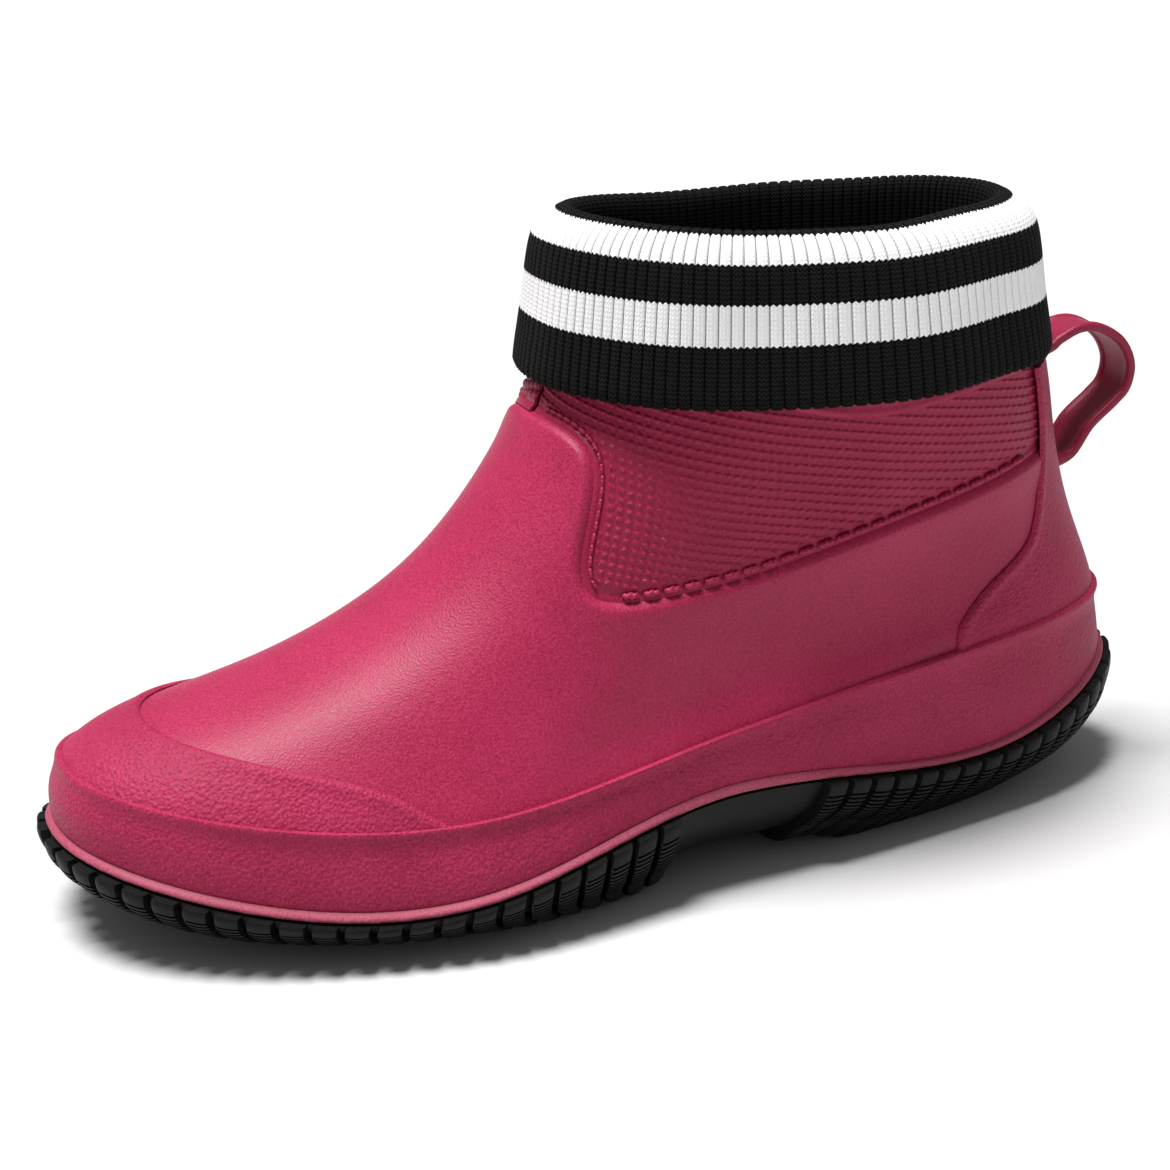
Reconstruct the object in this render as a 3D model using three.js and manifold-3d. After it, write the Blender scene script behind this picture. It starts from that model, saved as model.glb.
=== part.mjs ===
// A short rubber rain boot for the left foot, in millimetres, +Z up.
// It stands on its tread at Z = 0, the heel is towards +Y, the toe towards -Y and the outer side is +X.
// The upper is a hand-laid rubber boot: a lined base shell with moulded rubber pieces laid on it.
import * as THREE from 'three';
import { mergeVertices } from 'three/addons/utils/BufferGeometryUtils.js';
import Module from 'manifold-3d';

const wasm = await Module();
wasm.setup();

// ---- Driving dimensions ----
const soleLength = 270;
const ballWidth = 104;
const toplineHeight = 136;
const gap = 0.3;

const baseShellThickness = 1.0;
const layerThickness = 1.3;
const panelRecess = 0.7;
const counterThickness = 0.8;
const toeCapThickness = 0.7;
const foxingThickness = 1.8;
const foxingCrestHeight = 0.9;
const stiffenerThickness = 0.8;
const liningThickness = 1.1;
const beadHeight = 3.6;
const beadProud = 2.4;

const lugHeight = 3.5;
const outsoleBase = 3.2;
const contactHalfBall = 41;
const contactHalfHeel = 27;
const archLift = 3.5;
const sideLugWidth = 4.9;
const sideLugPitch = 6.8;
const treadBarWidth = 6.5;
const treadBarPitch = 12.5;

const fillerThickness = 2.4;
const boardThickness = 1.8;
const footbedThickness = 4.5;
const footbedHeelExtra = 2.0;
const footbedCoverThickness = 0.9;
const footbedClearance = 3.4;

const knitThickness = 1.8;
const tapeThickness = 0.8;
const tapeWidth = 9;
const cuffFoldAboveTopline = 14;
const cuffHemBelowTopline = 22;
const collarBelowHem = 2;

const loopWidth = 13;
const loopThickness = 2.4;
const loopTabLength = 4.5;
const loopBelowHem = 6.5;
const loopRootSpacing = 28.5;
const loopReach = 26;

// ---- Colours and finishes ----
const finish = (color, roughness) => new THREE.MeshStandardMaterial({ color, roughness, metalness: 0 });
const pinkRubber = finish('#b52a52', 0.45);
const pinkRubberLight = finish('#c4446a', 0.5);
const blackRubber = finish('#1d1f1f', 0.55);
const blackKnit = finish('#141414', 0.95);
const greyJersey = finish('#4a4a4c', 0.95);
const fibreBoard = finish('#b49b78', 0.9);
const blackFoam = finish('#2a2a2c', 0.9);

// ---- The upper's shape: levels from the feather line (up = 0) to the topline (up = 1) ----
// back and front are distances from the heel end of the sole, rise is the height at the heel's back,
// the heel's side, the arch, the ball and the toe, half is the half width at heel, waist and ball,
// and toeIn is how far the toe swings to the inner side. They are drawn for the sizes in drawnFor.
const drawnFor = { length: 270, width: 104, height: 136 };
const levels = [
  { up: 0.00, back: -3.0, front: 267.0, rise: [31, 18, 24.5, 12, 24], half: [35, 41, 52], toeIn: 8.5 },
  { up: 0.10, back: -2.0, front: 267.2, rise: [36, 25, 29.5, 17.5, 29], half: [36.5, 41, 51], toeIn: 8 },
  { up: 0.22, back: 0.3, front: 264.6, rise: [47, 45, 38, 28.5, 38], half: [36.3, 40.5, 47], toeIn: 7 },
  { up: 0.34, back: 4.6, front: 249.6, rise: [59, 55, 47.5, 38, 46], half: [34.5, 37, 43], toeIn: 6.5 },
  { up: 0.46, back: 10.3, front: 221.0, rise: [73, 68, 64, 53, 53], half: [32.5, 35.3, 38], toeIn: 4 },
  { up: 0.58, back: 15.3, front: 185.0, rise: [89.5, 84.5, 82, 74, 70], half: [32, 36, 36], toeIn: 2 },
  { up: 0.72, back: 19.3, front: 157.0, rise: [105, 103, 101, 99.5, 101], half: [33, 37, 37.5], toeIn: 1.5 },
  { up: 0.86, back: 23.6, front: 146.5, rise: [121, 120, 119, 119, 121], half: [33, 37.5, 36.5], toeIn: 1.5 },
  { up: 1.00, back: 26.0, front: 142.5, rise: [136, 135, 134, 135, 137], half: [31.5, 36.5, 34.5], toeIn: 1 },
];
const riseStations = [0, 0.18, 0.45, 0.75, 1];
const lengthScale = soleLength / drawnFor.length;
const widthScale = ballWidth / drawnFor.width;
const heightScale = toplineHeight / drawnFor.height;
const asBuilt = { length: lengthScale, width: widthScale, height: heightScale };
const asDrawn = { length: 1, width: 1, height: 1 };

// A natural cubic spline through the points (xs, ys).
function spline(xs, ys) {
  const n = xs.length;
  const bend = new Array(n).fill(0);
  const work = new Array(n).fill(0);
  for (let i = 1; i < n - 1; i++) {
    const share = (xs[i] - xs[i - 1]) / (xs[i + 1] - xs[i - 1]);
    const pivot = share * bend[i - 1] + 2;
    const change = (ys[i + 1] - ys[i]) / (xs[i + 1] - xs[i]) - (ys[i] - ys[i - 1]) / (xs[i] - xs[i - 1]);
    bend[i] = (share - 1) / pivot;
    work[i] = ((6 * change) / (xs[i + 1] - xs[i - 1]) - share * work[i - 1]) / pivot;
  }
  for (let i = n - 2; i >= 0; i--) bend[i] = bend[i] * bend[i + 1] + work[i];
  return (x) => {
    let k = 1;
    while (k < n - 1 && x > xs[k]) k++;
    const h = xs[k] - xs[k - 1];
    const a = (xs[k] - x) / h;
    const b = (x - xs[k - 1]) / h;
    const curve = ((a ** 3 - a) * bend[k - 1] + (b ** 3 - b) * bend[k]) * h * h / 6;
    return a * ys[k - 1] + b * ys[k] + curve;
  };
}

const clamp = (x, low, high) => Math.min(Math.max(x, low), high);
const mix = (a, b, t) => a + (b - a) * t;
const easeBetween = (x, from, to) => {
  const t = clamp((x - from) / (to - from), 0, 1);
  return t * t * (3 - 2 * t);
};

// Fullness of the plan outline: 0 at the heel and toe ends, 1 along the sides.
const heelRoundShare = 0.30;
const toeRoundShare = 0.38;
function fullness(t) {
  if (t < heelRoundShare) return (1 - (1 - t / heelRoundShare) ** 2.2) ** (1 / 2.2);
  const fromToe = (1 - t) / toeRoundShare;
  if (fromToe < 1) return (1 - (1 - fromToe) ** 2.25) ** (1 / 2.25);
  return 1;
}

// A point on one level's outline. around runs 0..1 from the heel's back along the outer side to the toe.
const innerSideShare = 0.96;
function outlinePoint(level, around, out = 0, scale = asBuilt) {
  const turn = around * 2 * Math.PI;
  const t = (1 - Math.cos(turn)) / 2;
  const side = Math.abs(Math.sin(turn)) < 1e-9 ? 0 : Math.sign(Math.sin(turn));
  const heelToWaist = easeBetween(t, 0.18, 0.45);
  const waistToBall = easeBetween(t, 0.45, 0.72);
  const heelHalf = mix(level.half[0], level.half[1], heelToWaist);
  const half = mix(heelHalf, level.half[2], waistToBall) * scale.width + out;
  const back = level.back * scale.length - out;
  const front = level.front * scale.length + out;
  const along = mix(back, front, t);
  const sideShare = side < 0 ? innerSideShare : 1;
  const across = side * sideShare * half * fullness(t) - level.toeIn * easeBetween(t, 0.45, 1);
  const height = spline(riseStations, level.rise)(t) * scale.height;
  return new THREE.Vector3(across, (drawnFor.length * scale.length) / 2 - along, height);
}

const ups = levels.map((level) => level.up);
const levelSpline = (read) => spline(ups, levels.map(read));
const splines = {
  back: levelSpline((level) => level.back),
  front: levelSpline((level) => level.front),
  rise: riseStations.map((_, i) => levelSpline((level) => level.rise[i])),
  half: [0, 1, 2].map((i) => levelSpline((level) => level.half[i])),
  toeIn: levelSpline((level) => level.toeIn),
};
function levelAt(up) {
  return {
    back: splines.back(up),
    front: splines.front(up),
    rise: splines.rise.map((line) => line(up)),
    half: splines.half.map((line) => line(up)),
    toeIn: splines.toeIn(up),
  };
}

// A point on the upper's outer skin, moved out along its normal by lift (in for a negative lift).
function skin(around, up, lift = 0) {
  const step = 0.004;
  const here = outlinePoint(levelAt(up), around);
  if (lift === 0) return here;
  const alongLevel = outlinePoint(levelAt(up), around + step).sub(outlinePoint(levelAt(up), around - step));
  const upLevel = outlinePoint(levelAt(up + step), around).sub(outlinePoint(levelAt(up - step), around));
  const normal = upLevel.cross(alongLevel).normalize();
  return here.addScaledVector(normal, lift);
}

// ---- Building closed solids ----
function signedVolume(position, index) {
  let volume = 0;
  const [a, b, c] = [new THREE.Vector3(), new THREE.Vector3(), new THREE.Vector3()];
  for (let i = 0; i < index.length; i += 3) {
    a.fromBufferAttribute(position, index[i]);
    b.fromBufferAttribute(position, index[i + 1]);
    c.fromBufferAttribute(position, index[i + 2]);
    volume += a.dot(b.cross(c)) / 6;
  }
  return volume;
}

// Merges shared points, drops faces that have shrunk to a line, and turns the faces outwards.
function closedGeometry(points, faces) {
  const raw = new THREE.BufferGeometry().setFromPoints(points);
  raw.setIndex(faces);
  const merged = mergeVertices(raw, 1e-3);
  const all = Array.from(merged.index.array);
  const kept = [];
  for (let i = 0; i < all.length; i += 3) {
    const [p, q, r] = [all[i], all[i + 1], all[i + 2]];
    if (p !== q && q !== r && r !== p) kept.push(p, q, r);
  }
  if (signedVolume(merged.attributes.position, kept) < 0) {
    for (let i = 0; i < kept.length; i += 3) [kept[i + 1], kept[i + 2]] = [kept[i + 2], kept[i + 1]];
  }
  merged.setIndex(kept);
  merged.computeVertexNormals();
  return merged;
}

// Joins a grid of rows of points by quads; both ways may close on themselves.
// The quads of the second, returning half are split the other way, so that the faces of both sheets,
// and of the pieces that lie on each other, run parallel.
function gridFaces(rows, columns, wrapRows, wrapColumns) {
  const faces = [];
  const at = (i, j) => (i % rows) * columns + (j % columns);
  for (let i = 0; i < rows - (wrapRows ? 0 : 1); i++) {
    for (let j = 0; j < columns - (wrapColumns ? 0 : 1); j++) {
      const [p, q, r, s] = [at(i, j), at(i + 1, j), at(i + 1, j + 1), at(i, j + 1)];
      if (j < columns / 2) faces.push(p, q, r, p, r, s);
      else faces.push(p, q, s, q, r, s);
    }
  }
  return faces;
}

// A solid that runs right round the boot: one section of points at each station.
// A section that isn't a loop starts and ends on the boot's middle line, where both sides meet.
function ringSolid(stations, section, isLoop = true) {
  const sections = stations.map(section);
  return closedGeometry(sections.flat(), gridFaces(sections.length, sections[0].length, true, isLoop));
}

// A slab between an outer and an inner sheet, over a grid of (a, b) from 0 to 1.
function slabSolid(stepsA, stepsB, outer, inner) {
  const points = [];
  for (let i = 0; i <= stepsA; i++) {
    const a = i / stepsA;
    for (let j = 0; j <= stepsB; j++) points.push(outer(a, j / stepsB));
    for (let j = stepsB; j >= 0; j--) points.push(inner(a, j / stepsB));
  }
  const loop = 2 * (stepsB + 1);
  const faces = gridFaces(stepsA + 1, loop, false, true);
  for (const end of [0, stepsA]) {
    const first = end * loop;
    for (let j = 0; j < stepsB; j++) {
      const [p, q, r, s] = [first + j, first + j + 1, first + loop - 2 - j, first + loop - 1 - j];
      if (end === 0) faces.push(p, q, r, p, r, s);
      else faces.push(p, r, q, p, s, r);
    }
  }
  return closedGeometry(points, faces);
}

const evenly = (count) => Array.from({ length: count }, (_, i) => i / count);
const between = (low, high, count) => Array.from({ length: count + 1 }, (_, i) => mix(low, high, i / count));

// The upper's pieces share these stations round the boot and rows up it, so that their faces run parallel.
// The collar band begins a little under the cuff's hem.
const stationCount = 36;
const stations = evenly(stationCount);
const shaftRisePerUp = 107;
const collarLine = 1 - (cuffHemBelowTopline + collarBelowHem) / (shaftRisePerUp * heightScale);
const rows = [0, 0.05, 0.12, 0.18, 0.235, 0.30, 0.37, 0.45, 0.53, 0.61, 0.69, collarLine, 0.86, 0.97];
const rowsBetween = (lowUp, highUp) => [lowUp, ...rows.filter((up) => up > lowUp && up < highUp), highUp];

// A layer of the upper between two heights, right round the boot.
function layer(lowUp, highUp, outerLift, innerLift) {
  const heights = rowsBetween(lowUp, highUp);
  return ringSolid(stations, (around) => {
    const outside = heights.map((up) => skin(around, up, outerLift));
    const inside = heights.map((up) => skin(around, up, innerLift)).reverse();
    return [...outside, ...inside];
  });
}

// A layer of the upper over some of the stations only.
function layerSector(firstStation, lastStation, lowUp, highUp, outerLift, innerLift) {
  const heights = rowsBetween(lowUp, highUp);
  const sheet = (lift) => (a, b) => {
    const around = mix(firstStation, lastStation, a) / stationCount;
    return skin(around, heights[Math.round(b * (heights.length - 1))], lift);
  };
  return slabSolid(lastStation - firstStation, heights.length - 1, sheet(outerLift), sheet(innerLift));
}

function toSolid(geometry) {
  const clean = geometry.clone();
  clean.deleteAttribute('normal');
  clean.deleteAttribute('uv');
  const merged = mergeVertices(clean, 1e-4);
  const vertProperties = new Float32Array(merged.attributes.position.array);
  const triVerts = new Uint32Array(merged.index.array);
  return new wasm.Manifold(new wasm.Mesh({ numProp: 3, vertProperties, triVerts }));
}

function toGeometry(solid) {
  const mesh = solid.getMesh();
  const geometry = new THREE.BufferGeometry();
  geometry.setAttribute('position', new THREE.BufferAttribute(new Float32Array(mesh.vertProperties), 3));
  geometry.setIndex(Array.from(mesh.triVerts));
  geometry.computeVertexNormals();
  return geometry;
}

const boot = new THREE.Group();
function addNode(name, geometry, material) {
  const mesh = new THREE.Mesh(geometry, material);
  mesh.name = name;
  boot.add(mesh);
  return mesh;
}

// ---- Feature lines of the upper, as heights over the way round ----
const crest = 0.235;
const seam = 0.004;
const foldedAround = (around) => Math.min(Math.abs(around), 1 - Math.abs(around));
const panelEnd = 0.108;
const panelLine = spline(
  [0.108, 0.15, 0.20, 0.256, 0.31, 0.35, 0.372, 0.39, 0.41, 0.44, 0.5],
  [0.595, 0.585, 0.562, 0.540, 0.556, 0.577, 0.605, 0.645, 0.705, 0.748, 0.762],
);
const toeCapEnd = 0.325;
const toeCapLine = spline([0.325, 0.343, 0.363, 0.40, 0.45, 0.5], [0.237, 0.300, 0.335, 0.355, 0.360, 0.358]);
const counterHalf = spline(
  [0.235, 0.30, 0.36, 0.40, 0.435, 0.47, 0.52, 0.60, 0.68, 0.775],
  [0.156, 0.154, 0.146, 0.133, 0.114, 0.104, 0.098, 0.094, 0.098, 0.104],
);

// A block through the layers whose walls stand square to the skin, over a patch given by
// place(a, b) = [around, up]. The layers are cut with these blocks.
function region(stepsA, stepsB, place) {
  const reach = 4;
  const sheet = (lift) => (a, b) => {
    const [around, up] = place(a, b);
    return skin(around, up, lift);
  };
  return toSolid(slabSolid(stepsA, stepsB, sheet(reach), sheet(-reach)));
}
const shaftTop = 1.02;
function panelRegion(start, end, lift) {
  return region(26, 3, (a, b) => {
    const around = mix(start, end, a);
    return [around, mix(panelLine(foldedAround(around)) + lift, shaftTop, b)];
  });
}
const cut = (geometry, ...blocks) => toGeometry(blocks.reduce((rest, block) => rest.subtract(block), toSolid(geometry)));
const keep = (geometry, block) => toGeometry(toSolid(geometry).intersect(block));

// ---- Layers of the upper ----
const layerInner = -layerThickness;
const shellOuter = layerInner - gap;
const shellInner = shellOuter - baseShellThickness;
const stiffenerOuter = shellInner - gap;
const stiffenerInner = stiffenerOuter - stiffenerThickness;
const liningOuter = stiffenerInner - gap;
const liningInner = liningOuter - liningThickness;

addNode('base_shell', layer(0, 0.97, shellOuter, shellInner), pinkRubber);
addNode('lining', layer(0.035, 0.86, liningOuter, liningInner), greyJersey);

// The vamp covers the foot and runs back under the heel counter; the side panels sit in its windows.
addNode('vamp_and_quarters', cut(
  layer(crest + seam, collarLine - seam, 0, layerInner),
  panelRegion(panelEnd, 0.5005, 0),
  panelRegion(0.4995, 1 - panelEnd, 0),
), pinkRubber);
for (const [side, start, end] of [['outer', panelEnd + seam, 0.498], ['inner', 0.502, 1 - panelEnd - seam]]) {
  const ring = layer(0.53, collarLine - seam, -panelRecess, layerInner);
  addNode(`side_panel_${side}`, keep(ring, panelRegion(start, end, seam)), pinkRubber);
}
addNode('collar_band', layer(collarLine + seam, 0.97, -0.1, layerInner), pinkRubber);

// The toe cap and the heel counter lie on the vamp.
addNode('toe_cap', keep(layer(crest, 0.37, gap + toeCapThickness, gap), region(24, 3, (a, b) => {
  const around = mix(toeCapEnd + seam, 1 - toeCapEnd - seam, a);
  const low = crest + 2 * seam;
  return [around, mix(low, Math.max(toeCapLine(foldedAround(around)), low + seam), b)];
})), pinkRubber);
addNode('heel_counter', keep(layer(crest, collarLine, gap + counterThickness, gap), region(8, 12, (a, b) => {
  const up = mix(crest + 2 * seam, collarLine - seam, b);
  return [counterHalf(up) * (2 * a - 1), up];
})), pinkRubber);

// Hidden stiffeners between the base shell and the lining.
const puffHalf = 5;
const stiffenerHalf = 6;
const middleStation = stationCount / 2;
addNode('toe_puff', layerSector(
  middleStation - puffHalf, middleStation + puffHalf, 0.05, 0.37, stiffenerOuter, stiffenerInner,
), fibreBoard);
addNode('heel_stiffener', layerSector(
  -stiffenerHalf, stiffenerHalf, 0.05, 0.45, stiffenerOuter, stiffenerInner,
), fibreBoard);

// The foxing band stands on its edge round the boot and thickens to a crest at the top.
const foxingLift = layerInner + foxingThickness;
addNode('foxing_band', ringSolid(stations, (around) => {
  const profile = [
    [0.05, layerInner], [0.05, foxingLift], [0.12, foxingLift], [0.18, foxingLift],
    [0.222, foxingCrestHeight], [crest, foxingCrestHeight * 0.6],
    [crest, layerInner], [0.18, layerInner], [0.12, layerInner],
  ];
  return profile.map(([up, lift]) => skin(around, up, lift));
}), pinkRubber);

// The welt bead is the pale lip where the upper meets the outsole.
function featherEdge(around, out, rise) {
  const point = outlinePoint(levelAt(0), around, out);
  point.z += rise;
  return point;
}
const beadDrop = 0.9;
addNode('welt_bead', ringSolid(stations, (around) => {
  const outer = beadProud + layerInner;
  const profile = [
    [layerInner + 0.2, 0], [outer * 0.7, 0.2], [outer, beadHeight * 0.35],
    [outer * 0.7, beadHeight * 0.6], [layerInner + 0.2, beadHeight * 0.55],
  ];
  return profile.map(([out, rise]) => featherEdge(around, out, rise - beadDrop));
}), pinkRubberLight);

// ---- The bottom: plates dished from the feather line down to the middle line ----
const middleFrom = 34;
const middleTo = 226;
// Height of the outsole's underside between its lugs, along the boot, and the extra above its base thickness.
const underside = (along) => lugHeight + archLift * archShare(along) + toeSpring(along);
const archShare = (along) => easeBetween(along, 84, 100) * (1 - easeBetween(along, 128, 146));
const toeSpring = (along) => 11 * Math.max(0, (along - 218) / 40) ** 2;
const bedExtra = spline([30, 105, 185, 235], [1.9, 2.4, 0.3, 4.5]);
function middlePoint(along, heightAt) {
  const place = clamp(along / lengthScale, middleFrom, middleTo);
  const across = -levels[0].toeIn * easeBetween(place / drawnFor.length, 0.45, 1);
  return new THREE.Vector3(across, soleLength / 2 - place * lengthScale, heightAt(place));
}
const bedMiddle = (lift) => (place) => underside(place) + outsoleBase + bedExtra(place) + lift;
const dishPower = 2.5;
const outsoleDrop = beadDrop + gap;
const plateOut = liningInner - 2.0;
// A point on the dished bed. share runs from the middle line (0) to the plates' edge (1),
// which stands back from the lining by trim.
function dishPoint(around, share, lift, trimBack = 0) {
  const edge = featherEdge(around, plateOut, lift - outsoleDrop);
  const middle = middlePoint(soleLength / 2 - edge.y, bedMiddle(lift));
  const reach = share * (1 - trimBack / Math.hypot(edge.x - middle.x, edge.y - middle.y));
  return new THREE.Vector3(
    mix(middle.x, edge.x, reach),
    mix(middle.y, edge.y, reach),
    mix(middle.z, edge.z, reach ** dishPower),
  );
}
const plateShares = [0, 0.45, 0.7, 0.87, 1];
function dishPlate(lowLift, highLift, trimBack = 0) {
  const sheet = (around, lift) => {
    const liftHere = typeof lift === 'function' ? lift(around) : lift;
    return plateShares.map((share) => dishPoint(around, share, liftHere, trimBack));
  };
  return ringSolid(stations, (around) => [...sheet(around, highLift), ...sheet(around, lowLift).reverse()], false);
}
const fillerLow = gap;
const fillerHigh = fillerLow + fillerThickness;
const boardLow = fillerHigh + gap;
const boardHigh = boardLow + boardThickness;
const footbedLow = boardHigh + 2 * gap;
const heelward = (around) => 1 - easeBetween(foldedAround(around), 0.14, 0.36);
const footbedHigh = (around) => footbedLow + footbedThickness + footbedHeelExtra * heelward(around);
const coverLow = (around) => footbedHigh(around) + gap;
const coverHigh = (around) => coverLow(around) + footbedCoverThickness;
addNode('bottom_filler', dishPlate(fillerLow, fillerHigh), blackFoam);
addNode('insole_board', dishPlate(boardLow, boardHigh), fibreBoard);
addNode('footbed_foam', dishPlate(footbedLow, footbedHigh, footbedClearance), blackFoam);
addNode('footbed_cover', dishPlate(coverLow, coverHigh, footbedClearance), greyJersey);

// ---- The outsole: a dished base with lugs that wrap up its sides ----
const rimOut = 1.6;
const contactLevel = {
  back: 20, front: 240, rise: [0, 0, 0, 0, 0], half: [contactHalfHeel, 31, contactHalfBall], toeIn: 7,
};
function contactPoint(around, out, drop = 0) {
  const point = outlinePoint(contactLevel, around, out);
  point.z = underside((soleLength / 2 - point.y) / lengthScale) - drop;
  return point;
}
// The side wall of the outsole, from its rim (down = 0) to its underside (down = 1).
function wallPoint(around, down, out = 0) {
  const rim = featherEdge(around, rimOut + out, -outsoleDrop);
  const contact = contactPoint(around, out * 0.75, out * 0.6);
  const shoulder = featherEdge(around, rimOut - 1.5 + out, 0);
  shoulder.z = mix(contact.z, rim.z, 0.3);
  const upper = rim.lerp(shoulder, down);
  const lower = shoulder.clone().lerp(contact, down);
  return upper.lerp(lower, down);
}
const wallSteps = [0.25, 0.5, 0.75];
const outsoleBody = toSolid(ringSolid(stations, (around) => {
  const top = plateShares.map((share) => dishPoint(around, share, 0));
  const rim = featherEdge(around, rimOut, -outsoleDrop);
  const wall = wallSteps.map((down) => wallPoint(around, down));
  const contact = contactPoint(around, 0);
  const middle = middlePoint(soleLength / 2 - contact.y, underside);
  const inboard = contact.clone().lerp(middle, 0.5);
  inboard.z = underside((soleLength / 2 - inboard.y) / lengthScale);
  return [...top, rim, ...wall, contact, inboard, middle];
}, false));

// Places round the rim, evenly spaced by pitch, between two stations.
function spacedAround(from, to, pitch) {
  const fine = between(from, to, 400);
  const places = [];
  let travelled = 0;
  let last = featherEdge(from, 0, 0);
  for (const around of fine) {
    const here = featherEdge(around, 0, 0);
    travelled += here.distanceTo(last);
    last = here;
    if (travelled >= pitch * (places.length + 0.5)) places.push(around);
  }
  return places;
}
const forefootLugsFrom = 0.258;
const heelLugsTo = 0.216;
const lugSlant = -0.004;
const lugReachUnder = 9;
function sideLug(around) {
  const span = 0.001;
  const speed = featherEdge(around + span, 0, 0).distanceTo(featherEdge(around - span, 0, 0)) / (2 * span);
  const half = sideLugWidth / speed / 2;
  const slant = around < 0.5 ? lugSlant : -lugSlant;
  const path = (proud) => (a, b) => {
    const place = around + mix(-half, half, a);
    if (b < 0.6) {
      const down = mix(0.06, 0.8, b / 0.5);
      const lift = proud < 0 ? proud : proud * mix(0.45, 1, Math.min(down * 2, 1));
      return wallPoint(place + slant * (0.5 - down), down, lift);
    }
    const under = place - slant * 0.5;
    const height = proud < 0 ? proud : lugHeight;
    return contactPoint(under, b < 0.9 ? 1.2 : -lugReachUnder, height);
  };
  return toSolid(slabSolid(1, 4, path(lugHeight * 0.85), path(-1.2)));
}
const sideLugs = [
  ...spacedAround(forefootLugsFrom, 1 - forefootLugsFrom, sideLugPitch),
  ...spacedAround(-heelLugsTo, heelLugsTo, sideLugPitch),
].map(sideLug);

// Chevron bars across the tread, pointing to the toe.
const barDepth = 5;
function treadBar(along) {
  const half = treadHalf(along) - lugReachUnder - 1;
  const shape = new THREE.Shape([
    new THREE.Vector2(-half, barDepth), new THREE.Vector2(0, 0), new THREE.Vector2(half, barDepth),
    new THREE.Vector2(half, barDepth + treadBarWidth), new THREE.Vector2(0, treadBarWidth),
    new THREE.Vector2(-half, barDepth + treadBarWidth),
  ]);
  const embed = 0.8;
  const bar = new THREE.ExtrudeGeometry(shape, { depth: lugHeight + embed, bevelEnabled: false });
  const middle = middlePoint(along * lengthScale, () => 0);
  bar.translate(middle.x, soleLength / 2 - along * lengthScale, 0);
  return toSolid(bar);
}
const treadHalf = spline([20, 45, 80, 150, 195, 215], [18, contactHalfHeel, 24, 30, contactHalfBall, 33]);
const treadBars = [
  ...[0, 1, 2].map((i) => 42 + i * treadBarPitch),
  ...[0, 1, 2, 3, 4].map((i) => 158 + i * treadBarPitch),
].map(treadBar);
const outsole = [...sideLugs, ...treadBars].reduce((whole, lug) => whole.add(lug), outsoleBody);
addNode('outsole', toGeometry(outsole), blackRubber);

// ---- The knit cuff: a tube sewn in at the topline and folded down outside ----
const cuffLevel = {
  back: 26, front: 147, rise: [-1, -1.5, -2, -1, 1.5], half: [31, 38.5, 35], toeIn: 1,
};
// The cuff keeps its distance from the shaft at each height, whatever the boot's sizes.
function shaftAt(around, height, scale) {
  const up = 1 + Math.min(height, 0) / (shaftRisePerUp * scale.height);
  return outlinePoint(levelAt(up), around, 0, scale);
}
function cuffPoint(around, out, height) {
  const drawn = outlinePoint(cuffLevel, around, out, asDrawn);
  const away = drawn.clone().sub(shaftAt(around, height, asDrawn));
  const point = shaftAt(around, height, asBuilt).add(away);
  point.z = toplineHeight + drawn.z + height;
  return point;
}
// The face of the cloth that is hidden inside the fold, from the hem outside over the top and down
// inside: how far it stands out and how far above the topline.
const hiddenFace = [
  [4.7, -cuffHemBelowTopline], [2.7, -8.3], [0.85, 4.6], [-0.6, 9.5], [-3.1, 12.2], [-5.5, 13.7],
  [-6.1, cuffFoldAboveTopline], [-6.6, 13.9], [-7.1, 9.9], [-7.2, 0], [-6.7, -16],
];
// The seen face lies a cloth's thickness away from the hidden one, square to it.
const seenFace = hiddenFace.map(([out, height], i) => {
  const [fromOut, fromHeight] = hiddenFace[Math.max(i - 1, 0)];
  const [toOut, toHeight] = hiddenFace[Math.min(i + 1, hiddenFace.length - 1)];
  if (i === 0) return [out + knitThickness, height];
  if (i === hiddenFace.length - 1) return [out - knitThickness, height];
  const share = knitThickness / Math.hypot(toOut - fromOut, toHeight - fromHeight);
  return [out + (toHeight - fromHeight) * share, height - (toOut - fromOut) * share];
});
addNode('knit_cuff', ringSolid(stations, (around) => (
  [...seenFace, ...[...hiddenFace].reverse()].map(([out, height]) => cuffPoint(around, out, height))
)), blackKnit);

// The tape covers the inner edge of the cloth, where it's sewn to the topline.
const [clothEndOut, clothEndHeight] = seenFace[seenFace.length - 1];
const tapeOut = clothEndOut - 2 * gap;
addNode('cuff_seam_tape', ringSolid(stations, (around) => {
  const [low, high] = [clothEndHeight - 0.4 * tapeWidth, clothEndHeight + 0.6 * tapeWidth];
  const profile = [[tapeOut, high], [tapeOut - tapeThickness, high], [tapeOut - tapeThickness, low], [tapeOut, low]];
  return profile.map(([out, height]) => cuffPoint(around, out, height));
}), blackKnit);

// ---- The pull loop: two tabs moulded to the counter and a strap that sways between them ----
function backUpAt(height) {
  let [low, high] = [0.3, collarLine];
  for (let i = 0; i < 30; i++) {
    const middle = (low + high) / 2;
    if (skin(0, middle).z < height) low = middle;
    else high = middle;
  }
  return low;
}
const counterFace = gap + counterThickness;
const upperRootHeight = toplineHeight - cuffHemBelowTopline - loopBelowHem;
const lowerUp = backUpAt(upperRootHeight - loopRootSpacing);
const upperUp = backUpAt(upperRootHeight);
const lowerPivot = skin(0, lowerUp, counterFace + gap + loopTabLength);
const upperPivot = skin(0, upperUp, counterFace + gap + loopTabLength);
const chord = upperPivot.clone().sub(lowerPivot);
const outward = new THREE.Vector3(0, chord.z, -chord.y).normalize();
const loopOutline = [
  [0, 0], [0.17, 0.31], [0.28, 0.68], [0.37, 0.89], [0.56, 1],
  [0.79, 0.92], [0.98, 0.67], [1.05, 0.41], [1.03, 0.12], [1, 0],
];
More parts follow.
